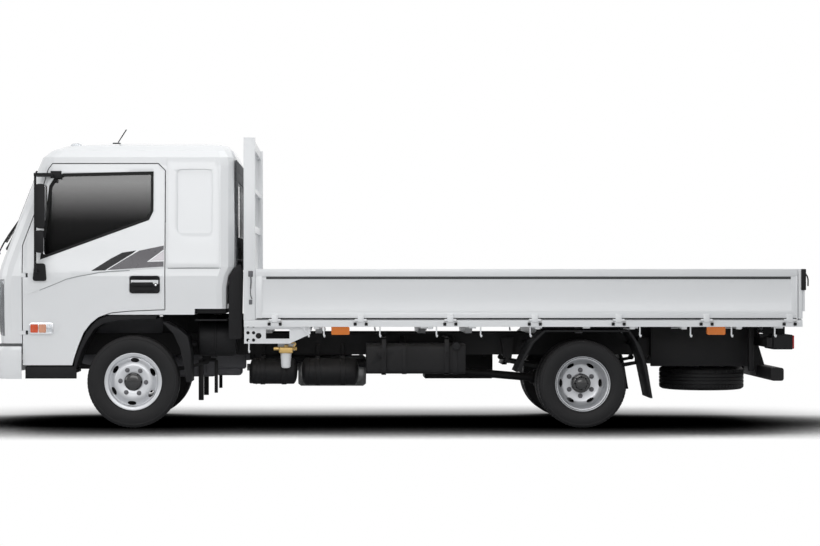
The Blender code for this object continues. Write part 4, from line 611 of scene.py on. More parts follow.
# %% Hubs
FLANGE_BOLTS = 8
front_cap = turned([(0.0, -0.1055), (0.02, -0.1052), (0.04, -0.1035), (0.056, -0.0995), (0.067, -0.0935),
                    (0.074, -0.0865), (0.0775, -0.08), (0.078, -0.074), (0.0, -0.07)], steps=64)
hub = turned([(0.0, -0.9045), (0.022, -0.9035), (0.038, -0.899), (0.048, -0.892), (0.053, -0.88),
              (0.055, -0.862), (0.06, -0.8585), (0.074, -0.857), (0.0775, -0.854), (0.0785, -0.848),
              (0.0785, -0.838), (0.082, -0.835), (0.084, -0.825), (0.085, -REAR_DISC), (0.0, -0.78)],
             steps=64)
drum(6, 0.0078, 0.01, (0.0, -0.862, 0.0665))
bolt = apply_modifier(settle(), "BEVEL", width=0.001, segments=2)
rear_hub = joined([hub] + ring_of(bolt, FLANGE_BOLTS))
for side, turn in SIDES:
    rear = turn @ Matrix.Translation((REAR_X, 0.0, REAR_RADIUS))
    front = turn @ FRONT_WHEEL
    # The wheel nuts take the dark cast grey, though their slot is the wheels' silver: the dark is partly painted
    # shade round the nuts.
    for rough, at, name, material, body, slot, node in (
            (front_rim, front, "steel_rim_front_", SILVER, "wheel_front_", None, "rim_front_"),
            (front_nuts, front, "wheel_nuts_front_", CAST, "wheel_front_", "wheel_silver", None),
            (front_cap, front, "hub_cap_front_", GLOSS_BLACK, "wheel_front_", None, None),
            (rear_rim, rear, "steel_rims_rear_", SILVER, "wheels_rear_", None, "rims_rear_"),
            (rear_nuts, rear, "wheel_nuts_rear_", CAST, "wheels_rear_", "wheel_silver", None),
            (rear_hub, rear, "hub_rear_", GLOSS_BLACK, "wheels_rear_", "black_paint", None)):
        piece = place(copied(rough, at), name + side, material, body + side, slot)
        if node:
            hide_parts(node + side)
for rough in (front_rim, rear_rim, front_nuts, rear_nuts, front_cap, rear_hub):
    bpy.data.objects.remove(rough)


# %% [markdown]
# A machined solid has knife edges, and a real casting or pressing has none: each edge catches a line of light.
# For the boxy nodes a copy is merged, freed of flat seams and given a narrow bevel, and it stands for the
# node. The width follows the size of the piece.

# %% Soft edges for boxy nodes
def softened(node, width):
    """A copy of a node with rounded edges that replaces it."""
    source = frame["nodes"][node]
    piece = copied(source, Matrix.Identity(4))
    edit(piece)
    bpy.ops.mesh.remove_doubles(threshold=0.00001)
    bpy.ops.mesh.dissolve_limited(angle_limit=math.radians(2.0))
    bpy.ops.object.mode_set(mode="OBJECT")
    bevelled(piece, width)
    place(piece, node + "_soft", source.material_slots[0].material, BODY_OF[node], smooth=34.0)
    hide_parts(node)


EDGE_WIDTH = (
    (0.006, "bumper dashboard battery_box fuel_tank air_duct engine mirror_* silencer"),
    (0.003, "mudguard_front_* mudguard_rear_* step_* headboard fuel_filter radiator front_axle rear_axle"),
    (0.0015, "dropside_* tailgate knuckle_* propeller_shaft"),
)
for width, line in EDGE_WIDTH:
    for node in nodes_in(line):
        softened(node, width)
print("softened", sum(len(nodes_in(line)) for _, line in EDGE_WIDTH))

# %% [markdown]
# The door and the side of the cab have an outer skin whose lower edge throws a thin shadow: it is the line
# that rises from the headlamp to the rear pillar. A flat outline is cut in a grid, projected along Y onto the
# solid so that it takes its curve, and thickened. Holes are cut afterwards, so their walls stay clean.

# %% Sheets that follow the side of the cab
def on_side(px, py):
    """The (x, z) of a point on the truck's near side from its pixel in the photograph."""
    return px * METRE_PER_PIXEL - 3.3655, (429.0 - py) * METRE_PER_PIXEL


def x_of(px):
    """The x of a column of the photograph, and z_of gives the z of a row."""
    return on_side(px, 0)[0]


def z_of(py):
    return on_side(0, py)[1]


def outline_of(*pixels):
    """An outline in metres from its pixels in the photograph."""
    return [on_side(px, py) for px, py in pixels]


def circle(x, z, radius, steps):
    """The outline of a circle in side view."""
    return [(x + radius * math.cos(turn), z + radius * math.sin(turn))
            for turn in [index * math.tau / steps for index in range(steps)]]


def flat_face(outline, y):
    """A face with that outline in side view, still in edit mode."""
    piece = trace([(x, y, z) for x, z in list(outline) + [outline[0]]])
    merge_doubles()
    bpy.ops.mesh.edge_face_add()
    return piece


def prism_y(outline, low, high):
    """A closed prism along Y with that outline in side view."""
    piece = flat_face(outline, low)
    bpy.ops.mesh.extrude_region_move(TRANSFORM_OT_translate={"value": (0.0, high - low, 0.0)})
    clean_up()
    return piece


def rounded_box(low, high, radius, steps=5):
    """The outline of a rectangle in side view with round corners."""
    corners = ((high[0], high[1], 0), (low[0], high[1], 1), (low[0], low[1], 2), (high[0], low[1], 3))
    points = []
    for x, z, quarter in corners:
        centre = (x - math.copysign(radius, x - (low[0] + high[0]) / 2),
                  z - math.copysign(radius, z - (low[1] + high[1]) / 2))
        for step in range(steps + 1):
            angle = (quarter + step / steps) * math.pi / 2
            points.append((centre[0] + radius * math.cos(angle), centre[1] + radius * math.sin(angle)))
    return points


def grown(outline, distance):
    """An outline moved out by a distance, corner by corner."""
    points = [Vector(point) for point in outline]
    area = sum(a.x * b.y - b.x * a.y for a, b in zip(points, points[1:] + points[:1]))
    turn = 1.0 if area > 0 else -1.0
    moved = []
    for index, corner in enumerate(points):
        into = (corner - points[index - 1]).normalized()
        out = (points[(index + 1) % len(points)] - corner).normalized()
        normal = Vector((into.y + out.y, -into.x - out.x)).normalized() * turn
        moved.append(tuple(corner + normal * distance / max(normal.dot(Vector((into.y, -into.x)) * turn), 0.5)))
    return moved


def settled_on(piece, lift):
    """Move stray vertices level with their neighbours on the skin, and lift all of them off it."""
    vertices = piece.data.vertices
    good = [v.co.copy() for v in vertices if -1.3 < v.co.y < -0.8]
    usual = sorted(co.y for co in good)[len(good) // 2]
    good = [co for co in good if abs(co.y - usual) < 0.12]
    for vertex in vertices:
        near = sorted(good, key=lambda co: abs(co.z - vertex.co.z) + 0.2 * abs(co.x - vertex.co.x))[:5]
        level = sorted(co.y for co in near)[2]
        if abs(vertex.co.y - level) > 0.012:
            vertex.co.y = level
        vertex.co.y -= lift


def sheet_on(outline, node, lift, thickness, holes=(), edge=0.0):
    """A sheet laid on the near side of a node, with holes cut through it."""
    grid = 0.05
    piece = flat_face(outline, -1.4)
    for axis, normal in ((0, (1.0, 0.0, 0.0)), (1, (0.0, 0.0, 1.0))):
        spread = [point[axis] for point in outline]
        cut_at = min(spread) + grid
        while cut_at < max(spread) - 0.01:
            bpy.ops.mesh.select_all(action="SELECT")
            bpy.ops.mesh.bisect(plane_co=(cut_at, 0.0, cut_at), plane_no=normal)
            cut_at += grid
    bpy.ops.mesh.select_all(action="SELECT")
    bpy.ops.mesh.quads_convert_to_tris()
    bpy.ops.object.mode_set(mode="OBJECT")
    if piece.data.polygons[0].normal.y > 0.0:
        piece.data.flip_normals()
    apply_modifier(piece, "SHRINKWRAP", target=frame["nodes"][node], wrap_method="PROJECT", use_project_x=False,
                   use_project_y=True, use_project_z=False, use_positive_direction=True,
                   use_negative_direction=False)
    settled_on(piece, lift)
    apply_modifier(piece, "SOLIDIFY", thickness=thickness, offset=1.0)
    for hole in holes:
        cut(piece, prism_y(hole, -1.35, -0.7))
    return bevelled(piece, edge, limit=40.0) if edge else piece


GLASS_LINE = [(-3.008, 1.456), (-2.99, 1.597), (-2.955, 1.911), (-2.938, 2.068), (-2.895, 2.137), (-2.824, 2.169),
              (-2.065, 2.186), (-2.065, 1.858), (-2.099, 1.788)]
RISING_LINE = [(27, 295.4), (40, 290.7), (53.6, 285.4), (67, 279.7), (79.4, 276.8), (90, 275), (100, 273),
               (130, 271), (163.9, 269)]
DOOR_TOP = [(-1.9615, 2.195), (-2.02, 2.2575), (-2.918, 2.2575), (-2.952, 2.214), (-3.0495, 1.874),
            (-3.1645, 1.558), (-3.1645, 1.155)]
HINGE_GAP = [(-3.3, 1.289), (-3.124, 1.289), (-3.124, 1.325), (-3.3, 1.325)]
SIDE_PANEL = outline_of((166.6, 269), (195, 268.6), (219.5, 268.2), (219.3, 200), (217.5, 166), (214, 158),
                        (166.6, 158))
QUARTER = rounded_box(on_side(177.4, 234.5), on_side(211.7, 170.0), 0.035)
rough = sheet_on(outline_of(*RISING_LINE) + DOOR_TOP, "door_panel_left", -0.002, 0.01,
                 holes=(grown(GLASS_LINE, 0.012), HINGE_GAP), edge=0.0015)
both_sides(rough, "door_upper_skin", WHITE, "door_{side}")
rough = sheet_on(SIDE_PANEL, "cab_shell", -0.002, 0.012, holes=(QUARTER,), edge=0.0015)
both_sides(rough, "side_upper_skin", WHITE, "cab")
rough = sheet_on(grown(GLASS_LINE, 0.0105), "door_panel_left", -0.002, 0.006, holes=(grown(GLASS_LINE, -0.012),))
both_sides(rough, "window_seal", RUBBER, "door_{side}")
print("side skins done")


# %% [markdown]
# The stripes on the door are thin film. Their outlines come from the picture in side view, and they follow the
# skin as the sheets do, a fraction of a millimetre proud. No words or badges are put on the truck.

# %% Door stripes
FILM_BLACK = finish("film_black", "black_plastic", (0.01, 0.01, 0.012), 0.25, vary=0.05, scale=6.0, **DULL)
FILM_GREY = finish("film_grey", "black_plastic", (0.075, 0.07, 0.08), 0.28, vary=0.06, scale=5.0, grain=0.05)
FILM_SILVER = finish("film_silver", "black_plastic", (0.42, 0.4, 0.42), 0.3, metallic=0.4, vary=0.04, scale=5.0)
STRIPES = (
    ("stripe_black", FILM_BLACK, ((91.4, 272.0), (111, 259.6), (122.4, 253.7), (136.5, 251.4), (133, 254.3),
                                  (105.4, 271.4))),
    ("stripe_grey", FILM_GREY, ((107.5, 271.1), (124, 260.8), (139.6, 251.6), (163.8, 246.6), (163.8, 250.6),
                                (147.0, 262.9), (163.8, 262.4), (163.8, 267.6))),
    ("stripe_light", FILM_SILVER, ((150.2, 261.9), (163.8, 251.9), (163.8, 261.4))),
)
for name, material, pixels in STRIPES:
    both_sides(sheet_on(outline_of(*pixels), "door_panel_left", 0.0078, 0.0006), name, material, "door_{side}")

# %% [markdown]
# The door handle is a black moulding: a dish with round corners that is let into the skin, and a pull bar
# across it with a lock beside it. The dish is a rounded block whose face is inset and pushed in, as a plate
# and a boss would not show the hand space.

# %% Door handles
def dish(low, high, radius, face_y, depth, border, bottom=0.75):
    """A rounded block, its near face inset and pushed in to a smaller floor."""
    piece = prism_y(rounded_box(low, high, radius), face_y, face_y + depth + 0.006)
    edit(piece)
    pick(piece, "faces", lambda face: face.normal.y < -0.9)
    bpy.ops.mesh.inset(thickness=border, depth=0.0)
    bpy.ops.mesh.extrude_region_move(TRANSFORM_OT_translate={"value": (0.0, depth, 0.0)})
    middle = ((low[0] + high[0]) / 2, face_y, (low[1] + high[1]) / 2)
    bpy.ops.transform.resize(value=(bottom, 1.0, bottom), center_override=middle)
    bpy.ops.object.mode_set(mode="OBJECT")
    return piece


def bar_y(outline, low, high, edge):
    """A prism along Y with rounded edges."""
    return bevelled(prism_y(outline, low, high), edge, 3)


HANDLE_LOW, HANDLE_HIGH = on_side(129.8, 294.3), on_side(160.0, 277.0)
HANDLE_Z = (HANDLE_LOW[1] + HANDLE_HIGH[1]) / 2
LOCK = (HANDLE_HIGH[0] - 0.034, HANDLE_Z - 0.004)
cup = dish(HANDLE_LOW, HANDLE_HIGH, 0.028, -1.0155, 0.016, 0.008)
pull = bar_y(rounded_box((HANDLE_LOW[0] + 0.012, HANDLE_Z - 0.012), (HANDLE_HIGH[0] - 0.055, HANDLE_Z + 0.02),
                         0.012), -1.0195, -1.005, 0.004)
both_sides(joined([cup, pull, bar_y(circle(*LOCK, 0.016, 24), -1.0185, -1.0, 0.003)]), "door_handle", PLASTIC,
           "door_{side}")
both_sides(bar_y(circle(*LOCK, 0.009, 20), -1.02, -1.01, 0.001), "door_lock", CHROME, "door_{side}")

# %% [markdown]
# The side repeater is one lamp of three fields in a bright frame: deep orange, clear orange and a clear end.
# Each field is its own small lens with round edges, so the joints between them show.

# %% Side repeaters
LENS = {"ribs": 0.4, "rib_scale": 160.0}
LENS_DEEP = glassy("lens_deep_orange", "lamp_orange", (0.85, 0.1, 0.02), 0.1, 0.2, **LENS)
LENS_PALE = glassy("lens_pale_orange", "lamp_orange", (0.9, 0.42, 0.26), 0.1, 0.35, **LENS)
rough = bar_y(rounded_box(on_side(29.6, 335.2), on_side(54.0, 323.6), 0.022), -1.016, -1.004, 0.003)
both_sides(rough, "repeater_frame", CHROME, "door_{side}", "lamp_clear")
for name, material, start, end in (("deep", LENS_DEEP, 31.0, 38.6), ("pale", LENS_PALE, 39.2, 46.6),
                                   ("clear", CLEAR, 47.2, 52.8)):
    rough = bar_y(rounded_box(on_side(start, 333.6), on_side(end, 325.2), 0.008), -1.0205, -1.012, 0.004)
    both_sides(rough, "repeater_" + name, material, "door_{side}")

# %% [markdown]
# Rods are curves with a round bevel. A curve keeps an even thickness round its bends, which a chain of
# cylinders does not, and it is turned into a mesh when its path is right.

# %% A helper for rods
def rod(points, radius, smooth_path=True, resolution=6):
    """A round bar along a path, as a mesh with closed ends."""
    data = bpy.data.curves.new("path", "CURVE")
    data.dimensions = "3D"
    data.bevel_depth = radius
    data.bevel_resolution = 3
    data.use_fill_caps = True
    spline = data.splines.new("BEZIER" if smooth_path else "POLY")
    if smooth_path:
        spline.bezier_points.add(len(points) - 1)
        for knot, point in zip(spline.bezier_points, points):
            knot.co = point
            knot.handle_left_type = knot.handle_right_type = "AUTO"
    else:
        spline.points.add(len(points) - 1)
        for knot, point in zip(spline.points, points):
            knot.co = (*point, 1.0)
    spline.resolution_u = resolution
    piece = bpy.data.objects.new("path", data)
    bpy.context.scene.collection.objects.link(piece)
    fresh(piece)
    bpy.ops.object.convert(target="MESH")
    return bpy.context.active_object


def block(low, high, edge=0.003, segments=2):
    """A cuboid between two corners with rounded edges."""
    fresh()
    size = [b - a for a, b in zip(low, high)]
    bpy.ops.mesh.primitive_cube_add(size=1.0, location=[(a + b) / 2 for a, b in zip(low, high)])
    bpy.context.active_object.scale = size
    return apply_modifier(settle(), "BEVEL", width=min(edge, min(size) * 0.45), segments=segments)


# %% [markdown]
# On the roof sit two small work lamps, each a clear dome on a dark rubber base. They follow the round roof
# edge, so both parts are turned forms that are tilted and set a little into the skin.

# %% Roof lamps
for name, y in (("near", -0.72), ("far", 0.72)):
    at = (Matrix.Translation((x_of(73), y, 2.398)) @ Matrix.Rotation(math.radians(-4), 4, "Y")
          @ Matrix.Rotation(math.pi / 2, 4, "X"))
    base = turned([(0.0, 0.016), (0.06, 0.014), (0.066, 0.008), (0.068, -0.01), (0.0, -0.03)], steps=40)
    base.data.transform(at)
    place(base, "roof_lamp_base_" + name, RUBBER, "cab")
    dome = turned([(0.056, 0.012), (0.055, 0.024), (0.05, 0.036), (0.04, 0.046), (0.024, 0.052), (0.0, 0.054)],
                  steps=40)
    dome.data.transform(at)
    apply_modifier(dome, "SOLIDIFY", thickness=0.002, offset=-1.0)
    place(dome, "roof_lamp_dome_" + name, CLEAR, "cab")

# %% [markdown]
# Two long wipers lie on the windscreen, parked from the driver's side. Each is an arm on a pivot cap, with a
# blade holder and a rubber lip. The screen leans back, so the arm's points are measured along its slope.

# %% Wipers
SCREEN_LOW, SCREEN_HIGH = Vector((-3.399, 0.0, 1.52)), Vector((-3.06, 0.0, 2.215))


def on_screen(*points):
    """Points before the windscreen: across, up along its slope (0 to 1), and out from the glass."""
    slope = SCREEN_HIGH - SCREEN_LOW
    normal = Vector((-slope.z, 0.0, slope.x)).normalized()
    laid = [(SCREEN_LOW + slope * up + normal * out, y) for y, up, out in points]
    return [(point.x, y, point.z) for point, y in laid]


wiper_parts = []
for pivot_y, tip_y in ((-0.52, -0.1), (0.14, 0.56)):
    middle_y = (pivot_y + tip_y) / 2
    blade = on_screen((pivot_y - 0.02, 0.1, 0.016), (middle_y, 0.37, 0.022), (tip_y + 0.06, 0.66, 0.016))
    wiper_parts += [
        rod(on_screen((pivot_y, -0.06, 0.02), (pivot_y, -0.06, 0.036)), 0.018, False),
        rod(on_screen((pivot_y, -0.06, 0.034), (pivot_y + 0.04, 0.1, 0.036), (middle_y, 0.36, 0.03)), 0.0065,
            resolution=4),
        rod(blade, 0.0055),
        rod([tuple(Vector(point) + Vector((0.009, 0.0, -0.004))) for point in blade], 0.0032)]
place(joined(wiper_parts), "wipers", PLASTIC, "cab")
print("cab details done")


# %% [markdown]
# The drop sides are pressed sheet in a frame: under the top rail runs a deep shadow, painted here as a thin dark
# strip, at the ends stand wider posts, and the bottom hangs on seven knuckles. The rails are beads laid on the
# solid gate. Each is a long block with round edges that rides with its gate, so it folds down with it.

# %% Rails of the drop sides and the tailgate
PAINTED_SHADOW = finish("painted_shadow_grey", "black_plastic", (0.045, 0.048, 0.05), 0.7, vary=0.2, scale=6.0)
GATE_START, GATE_END = [corner[0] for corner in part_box("dropside_left")]
GATE_FACE, GATE_LOW, GATE_TOP, RAIL_LOW = -1.08, 0.937, 1.36, z_of(277.3)
INSIDE = GATE_FACE + 0.004              # where the rails end in the sheet
for name, start, proud, low, end, inner, high, edge, material in (
        ("top_lip", GATE_START + 0.002, 0.0045, RAIL_LOW, GATE_END - 0.002, INSIDE, GATE_TOP - 0.002, 0.003,
         BED_WHITE),
        ("bottom_lip", GATE_START + 0.002, 0.0035, GATE_LOW + 0.006, GATE_END - 0.002, INSIDE, z_of(313.5), 0.003,
         BED_WHITE),
        ("front_post", GATE_START + 0.002, 0.006, GATE_LOW + 0.004, x_of(262.5), INSIDE, RAIL_LOW + 0.002, 0.003,
         BED_WHITE),
        ("rear_post", x_of(793.4), 0.006, GATE_LOW + 0.004, GATE_END - 0.002, INSIDE, RAIL_LOW + 0.002, 0.003,
         BED_WHITE),
        # A thin dark strip under the top rail: painted shadow.
        ("painted_shadow_strip", GATE_START + 0.09, 0.0012, z_of(280.2), GATE_END - 0.06, INSIDE, z_of(277.6), 0.001, PAINTED_SHADOW),
        ("rubber_foot", GATE_START + 0.01, 0.001, GATE_LOW - 0.004, GATE_END - 0.01, GATE_FACE + 0.03,
         GATE_LOW + 0.006, 0.001, RUBBER)):
    both_sides(block((start, GATE_FACE - proud, low), (end, inner, high), edge), "gate_" + name, material,
               "side_{side}")
tail_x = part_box("tailgate")[1][0]
tail_parts = [block((tail_x - 0.02, -1.075, RAIL_LOW), (tail_x - 0.001, 1.075, GATE_TOP - 0.002))]
for y in (-1.045, -0.6, 0.0, 0.6, 1.045):
    tail_parts.append(block((tail_x - 0.02, y - 0.03, 1.0), (tail_x - 0.0015, y + 0.03, GATE_TOP - 0.004)))
place(joined(tail_parts), "tailgate_rails", BED_WHITE, "tail")
print("gate rails done")

# %% [markdown]
# Each gate knuckle is a pin with a split tail, under a small domed cover. Below the sill hang the rope hooks: a
# bent bar, welded at its top. Each kind is made in a loop along the bed, from its places in the photograph, and
# the front bracket gets its bolts and its round hole.

# %% Hinge pins, covers and rope hooks
def around(x, y, z, half_x, half_y, half_z, edge=0.003, segments=2):
    """A block from its middle in X, and from pairs of distances below and above y and z."""
    low, high = (x - half_x, y - half_y[0], z - half_z[0]), (x + half_x, y + half_y[1], z + half_z[1])
    return block(low, high, edge, segments)


HINGE_Y, HINGE_Z = -1.092, 0.925
pins, covers, hinge_plates_and_shade = [], [], []
for x in (x_of(px) for px in (275, 360.5, 449.6, 533.6, 617, 704.4, 787)):
    pins += [rod([(x - 0.052, HINGE_Y, HINGE_Z), (x + 0.052, HINGE_Y, HINGE_Z)], 0.0065, False),
             rod([(x + 0.05, HINGE_Y, HINGE_Z), (x + 0.058, HINGE_Y + 0.004, HINGE_Z - 0.014)], 0.0028, False)]
    covers.append(around(x, HINGE_Y, HINGE_Z, 0.025, (0.0095, 0.01), (0.018, 0.03), 0.006, 3))
    # Black plates under each cover: hinge leaves whose black partly stands in for the shade under the hinge, as
    # painted shade.
    for middle in (x - 0.047, x + 0.047):
        hinge_plates_and_shade.append(around(middle, HINGE_Y, HINGE_Z, 0.013, (0.003, 0.01), (0.047, -0.02), 0.004))
both_sides(joined(pins), "gate_hinge_pins", ZINC, "chassis")
both_sides(joined(hinge_plates_and_shade), "gate_hinge_plates_and_painted_shade", CHASSIS, "chassis")
both_sides(joined(covers), "gate_hinge_covers", BED_WHITE, "side_{side}")

SILL_Y = -1.062
hooks = []
for px, top_px, lean in ((324, 327.5, 0), (379.7, 327.5, 0), (436, 327.5, 0), (480, 327.5, 0), (529.3, 327.5, 0),
                         (638.5, 327.5, 0), (688.9, 327.5, 0), (729.7, 327.5, 0), (772.8, 327.5, 0),
                         (303.5, 327.5, 5), (249.3, 343, 0)):
    x, top = on_side(px, top_px)
    foot, slant = top - 0.085, lean * METRE_PER_PIXEL
    hooks.append(rod([(x, SILL_Y, top + 0.02), (x + slant * 0.4, SILL_Y - 0.002, (top + foot) / 2),
                      (x + slant, SILL_Y - 0.004, foot + 0.012), (x + slant + 0.004, SILL_Y - 0.016, foot),
                      (x + slant + 0.006, SILL_Y - 0.028, foot + 0.014)], 0.0062, resolution=5))
both_sides(joined(hooks), "rope_hooks", BED_WHITE, "chassis")
tabs = [around(x_of(px), -1.03, z_of(328.3), 0.024, (0.02, 0.02), (0.016, 0.022), 0.008, 3)
        for px in (316.5, 430, 537, 631.5, 683, 737.5)]
both_sides(joined(tabs), "sill_tabs", BED_WHITE, "chassis")
BOLT = [(0.0, -0.0085), (0.007, -0.008), (0.0095, -0.006), (0.01, 0.0), (0.014, 0.0), (0.014, 0.003),
        (0.0, 0.004)]
bolts = [moved(turned(BOLT, steps=18), (x_of(px), -1.0135, z_of(py)))
         for px in (248.1, 253.7) for py in (326.7, 333.7, 341.0)]
both_sides(joined(bolts), "bracket_bolts", CHASSIS, "chassis", "grey_steel")
hole_at = (x_of(258.7), -1.013, z_of(336.7))
ring = turned([(0.024, 0.002), (0.026, -0.003), (0.034, -0.003), (0.036, 0.002), (0.03, 0.004)], 32, closed=True)
both_sides(moved(ring, hole_at), "bracket_ring", BED_WHITE, "chassis")
plug = turned([(0.0, -0.001), (0.02, -0.001), (0.0245, 0.001), (0.0245, 0.003), (0.0, 0.004)], 32)
both_sides(moved(plug, hole_at), "bracket_hole", RUBBER, "chassis")
print("bed hardware done")

# %% [markdown]
# The latches that hold the gates shut are black forgings: on the headboard's post a hasp and its chain eye, and
# on the rear corner an over-centre lever. The lever stands off the post, so its outline shows from the side.

# %% Gate latches
x, top = on_side(251, 272)
latches = [around(x, -1.092, top, 0.02, (0.0, 0.013), (0.05, 0.0), 0.004),
           rod([(x, -1.094, top - 0.03), (x + 0.004, -1.1, top - 0.09), (x, -1.096, top - 0.15)], 0.006,
               resolution=5),
           rod([(x, -1.092, top - 0.14), (x, -1.092, top - 0.2), (x + 0.012, -1.092, top - 0.24)], 0.004,
               resolution=5),
           around(x, -1.092, top, 0.014, (0.0, 0.013), (0.285, -0.245), 0.004)]
both_sides(joined(latches), "front_latches", CAST, "chassis", "grey_steel")
x, top = on_side(798.6, 269.5)
levers = [block((x, -1.098, top - 0.185), (x + 0.04, -1.074, top - 0.004), 0.006),
          rod([(x + 0.036, -1.088, top - 0.045), (x + 0.052, -1.092, top - 0.075), (x + 0.056, -1.092, top - 0.15)],
              0.0065, resolution=5)]
both_sides(joined(levers), "tail_latches", PLASTIC, "tail")

# %% [markdown]
# Under the bed the real truck is crowded and dark. Air reservoirs, the gearbox, a toolbox on the far side, the
# carrier of the spare wheel and the runners between frame and bed are separate pieces here, each turned or
# bevelled and hung on its straps, so daylight shows only where it does on the truck.

# %% Reservoirs, gearbox, toolbox and carrier
def along_x(section, start, y, z, steps=48):
    """A turned form laid along X: (radius, distance from its start)."""
    return moved(turned(section, steps), (start, y, z), -1, "Z")


def reservoir(start, length, y, z, radius):
    """An air tank with domed ends, seams and two straps."""
    dome = radius * 0.32
    end = [(0.0, 0.0), (radius * 0.45, dome * 0.1), (radius * 0.78, dome * 0.38), (radius * 0.95, dome * 0.75),
           (radius, dome)]
    body = end + [(radius, dome + 0.02), (radius + 0.003, dome + 0.022), (radius + 0.003, dome + 0.03),
                  (radius, dome + 0.032)]
    for strap in (length * 0.28, length * 0.72):
        body += [(radius, strap - 0.022), (radius + 0.005, strap - 0.02), (radius + 0.005, strap + 0.02),
                 (radius, strap + 0.022)]
    return along_x(body + [(r, length - reach) for r, reach in reversed(end)], start, y, z)


tanks = [reservoir(-1.245, 0.42, -0.6, 0.47, 0.112), reservoir(-0.79, 0.5, -0.59, 0.468, 0.118)]
for x in (-1.13, -0.94, -0.65, -0.43):
    tanks += [block((x - 0.02, -0.62, 0.56), (x + 0.02, -0.352, 0.6), 0.004),
              block((x - 0.018, -0.372, 0.56), (x + 0.018, -0.352, 0.7), 0.004)]
place(joined(tanks), "air_reservoirs", CHASSIS, "chassis")
CANISTER = [(0.0, 0.0), (0.12, 0.006), (0.15, 0.02), (0.158, 0.05), (0.158, 0.15), (0.166, 0.152),
            (0.166, 0.166), (0.158, 0.168), (0.158, 0.3), (0.148, 0.33), (0.1, 0.345), (0.0, 0.35)]
cleaner = [along_x(CANISTER, -1.69, -0.64, 0.76),
           rod([(-1.5, -0.64, 0.76), (-1.42, -0.64, 0.86), (-1.35, -0.6, 0.9)], 0.06, resolution=8),
           block((-1.64, -0.6, 0.64), (-1.6, -0.352, 0.69), 0.005),
           block((-1.44, -0.6, 0.64), (-1.4, -0.352, 0.69), 0.005)]
place(joined(cleaner), "air_cleaner", PLASTIC, "chassis")
gearbox = [block((-1.95, -0.165, 0.4), (-1.56, 0.165, 0.7), 0.03, 3),
           block((-1.56, -0.125, 0.41), (-1.33, 0.125, 0.64), 0.025, 3),
           block((-1.9, -0.2, 0.56), (-1.62, 0.2, 0.64), 0.015)]
gearbox += [block((x - 0.006, -0.176, 0.43), (x + 0.006, 0.176, 0.69)) for x in (-1.88, -1.8, -1.72, -1.64)]
place(joined(gearbox), "gearbox", CAST, "chassis")
screens = [block((-2.02, -0.345, 0.8), (-1.3, -0.33, 0.955), 0.004),
           block((-2.02, 0.33, 0.8), (-1.3, 0.345, 0.955), 0.004),
           block((-1.7, -0.96, 0.915), (-1.42, -0.345, 0.93), 0.005),
           block((-1.7, 0.345, 0.915), (-1.42, 0.96, 0.93), 0.005)]
screens += [block((x - 0.008, -0.352, 0.806), (x + 0.008, -0.343, 0.948), 0.002)
            for x in (-1.95, -1.8, -1.65, -1.5, -1.36)]
place(joined(screens), "engine_screens", PLASTIC, "chassis")
chest = [block((0.33, 0.5, 0.352), (0.96, 0.9, 0.64), 0.012, 3),
         block((0.35, 0.898, 0.372), (0.94, 0.908, 0.62), 0.005),
         block((0.63, 0.906, 0.59), (0.68, 0.916, 0.63), 0.004),
         block((0.4, 0.352, 0.56), (0.44, 0.52, 0.62), 0.004),
         block((0.85, 0.352, 0.56), (0.89, 0.52, 0.62), 0.004)]
place(joined(chest), "tool_chest", CHASSIS, "chassis")
carrier = [block((2.33, y - 0.025, 0.5), (3.16, y + 0.025, 0.6), 0.006) for y in (-0.29, 0.29)]
carrier += [block((x - 0.025, -0.345, 0.52), (x + 0.025, 0.345, 0.59), 0.006) for x in (2.36, 2.8, 3.14)]
carrier += [block((3.105, y - 0.03, 0.47), (3.15, y + 0.03, 0.86), 0.006) for y in (-0.62, 0.62)]
plate = turned([(0.0, 0.0), (0.055, 0.004), (0.06, 0.02), (0.045, 0.034), (0.0, 0.036)], 32)
carrier += [rod([(2.8, 0.0, 0.6), (2.8, 0.0, 0.3)], 0.012, False), moved(plate, (2.8, 0.0, 0.345), 1)]
place(joined(carrier), "spare_carrier", CHASSIS, "chassis")
hangers = [block((-1.7, -0.42, 0.205), (-1.655, -0.395, 0.56), 0.004),
           block((-1.56, -0.42, 0.27), (-1.53, -0.395, 0.56), 0.004),
           rod([(-1.675, -0.408, 0.56), (-1.545, -0.408, 0.56)], 0.016, False)]
both_sides(joined(hangers), "stay_brackets", CHASSIS, "chassis")
print("underbody done")

# %% [markdown]
# The seats are foam in sewn covers. Each pad starts as a rounded block that is subdivided, with its sides
# pulled in between the corners and its seams marked as a vertex group. Cloth with pressure then blows the
# panels up between the seams, which are pinned, as foam does under a stretched cover. The movement is capped.

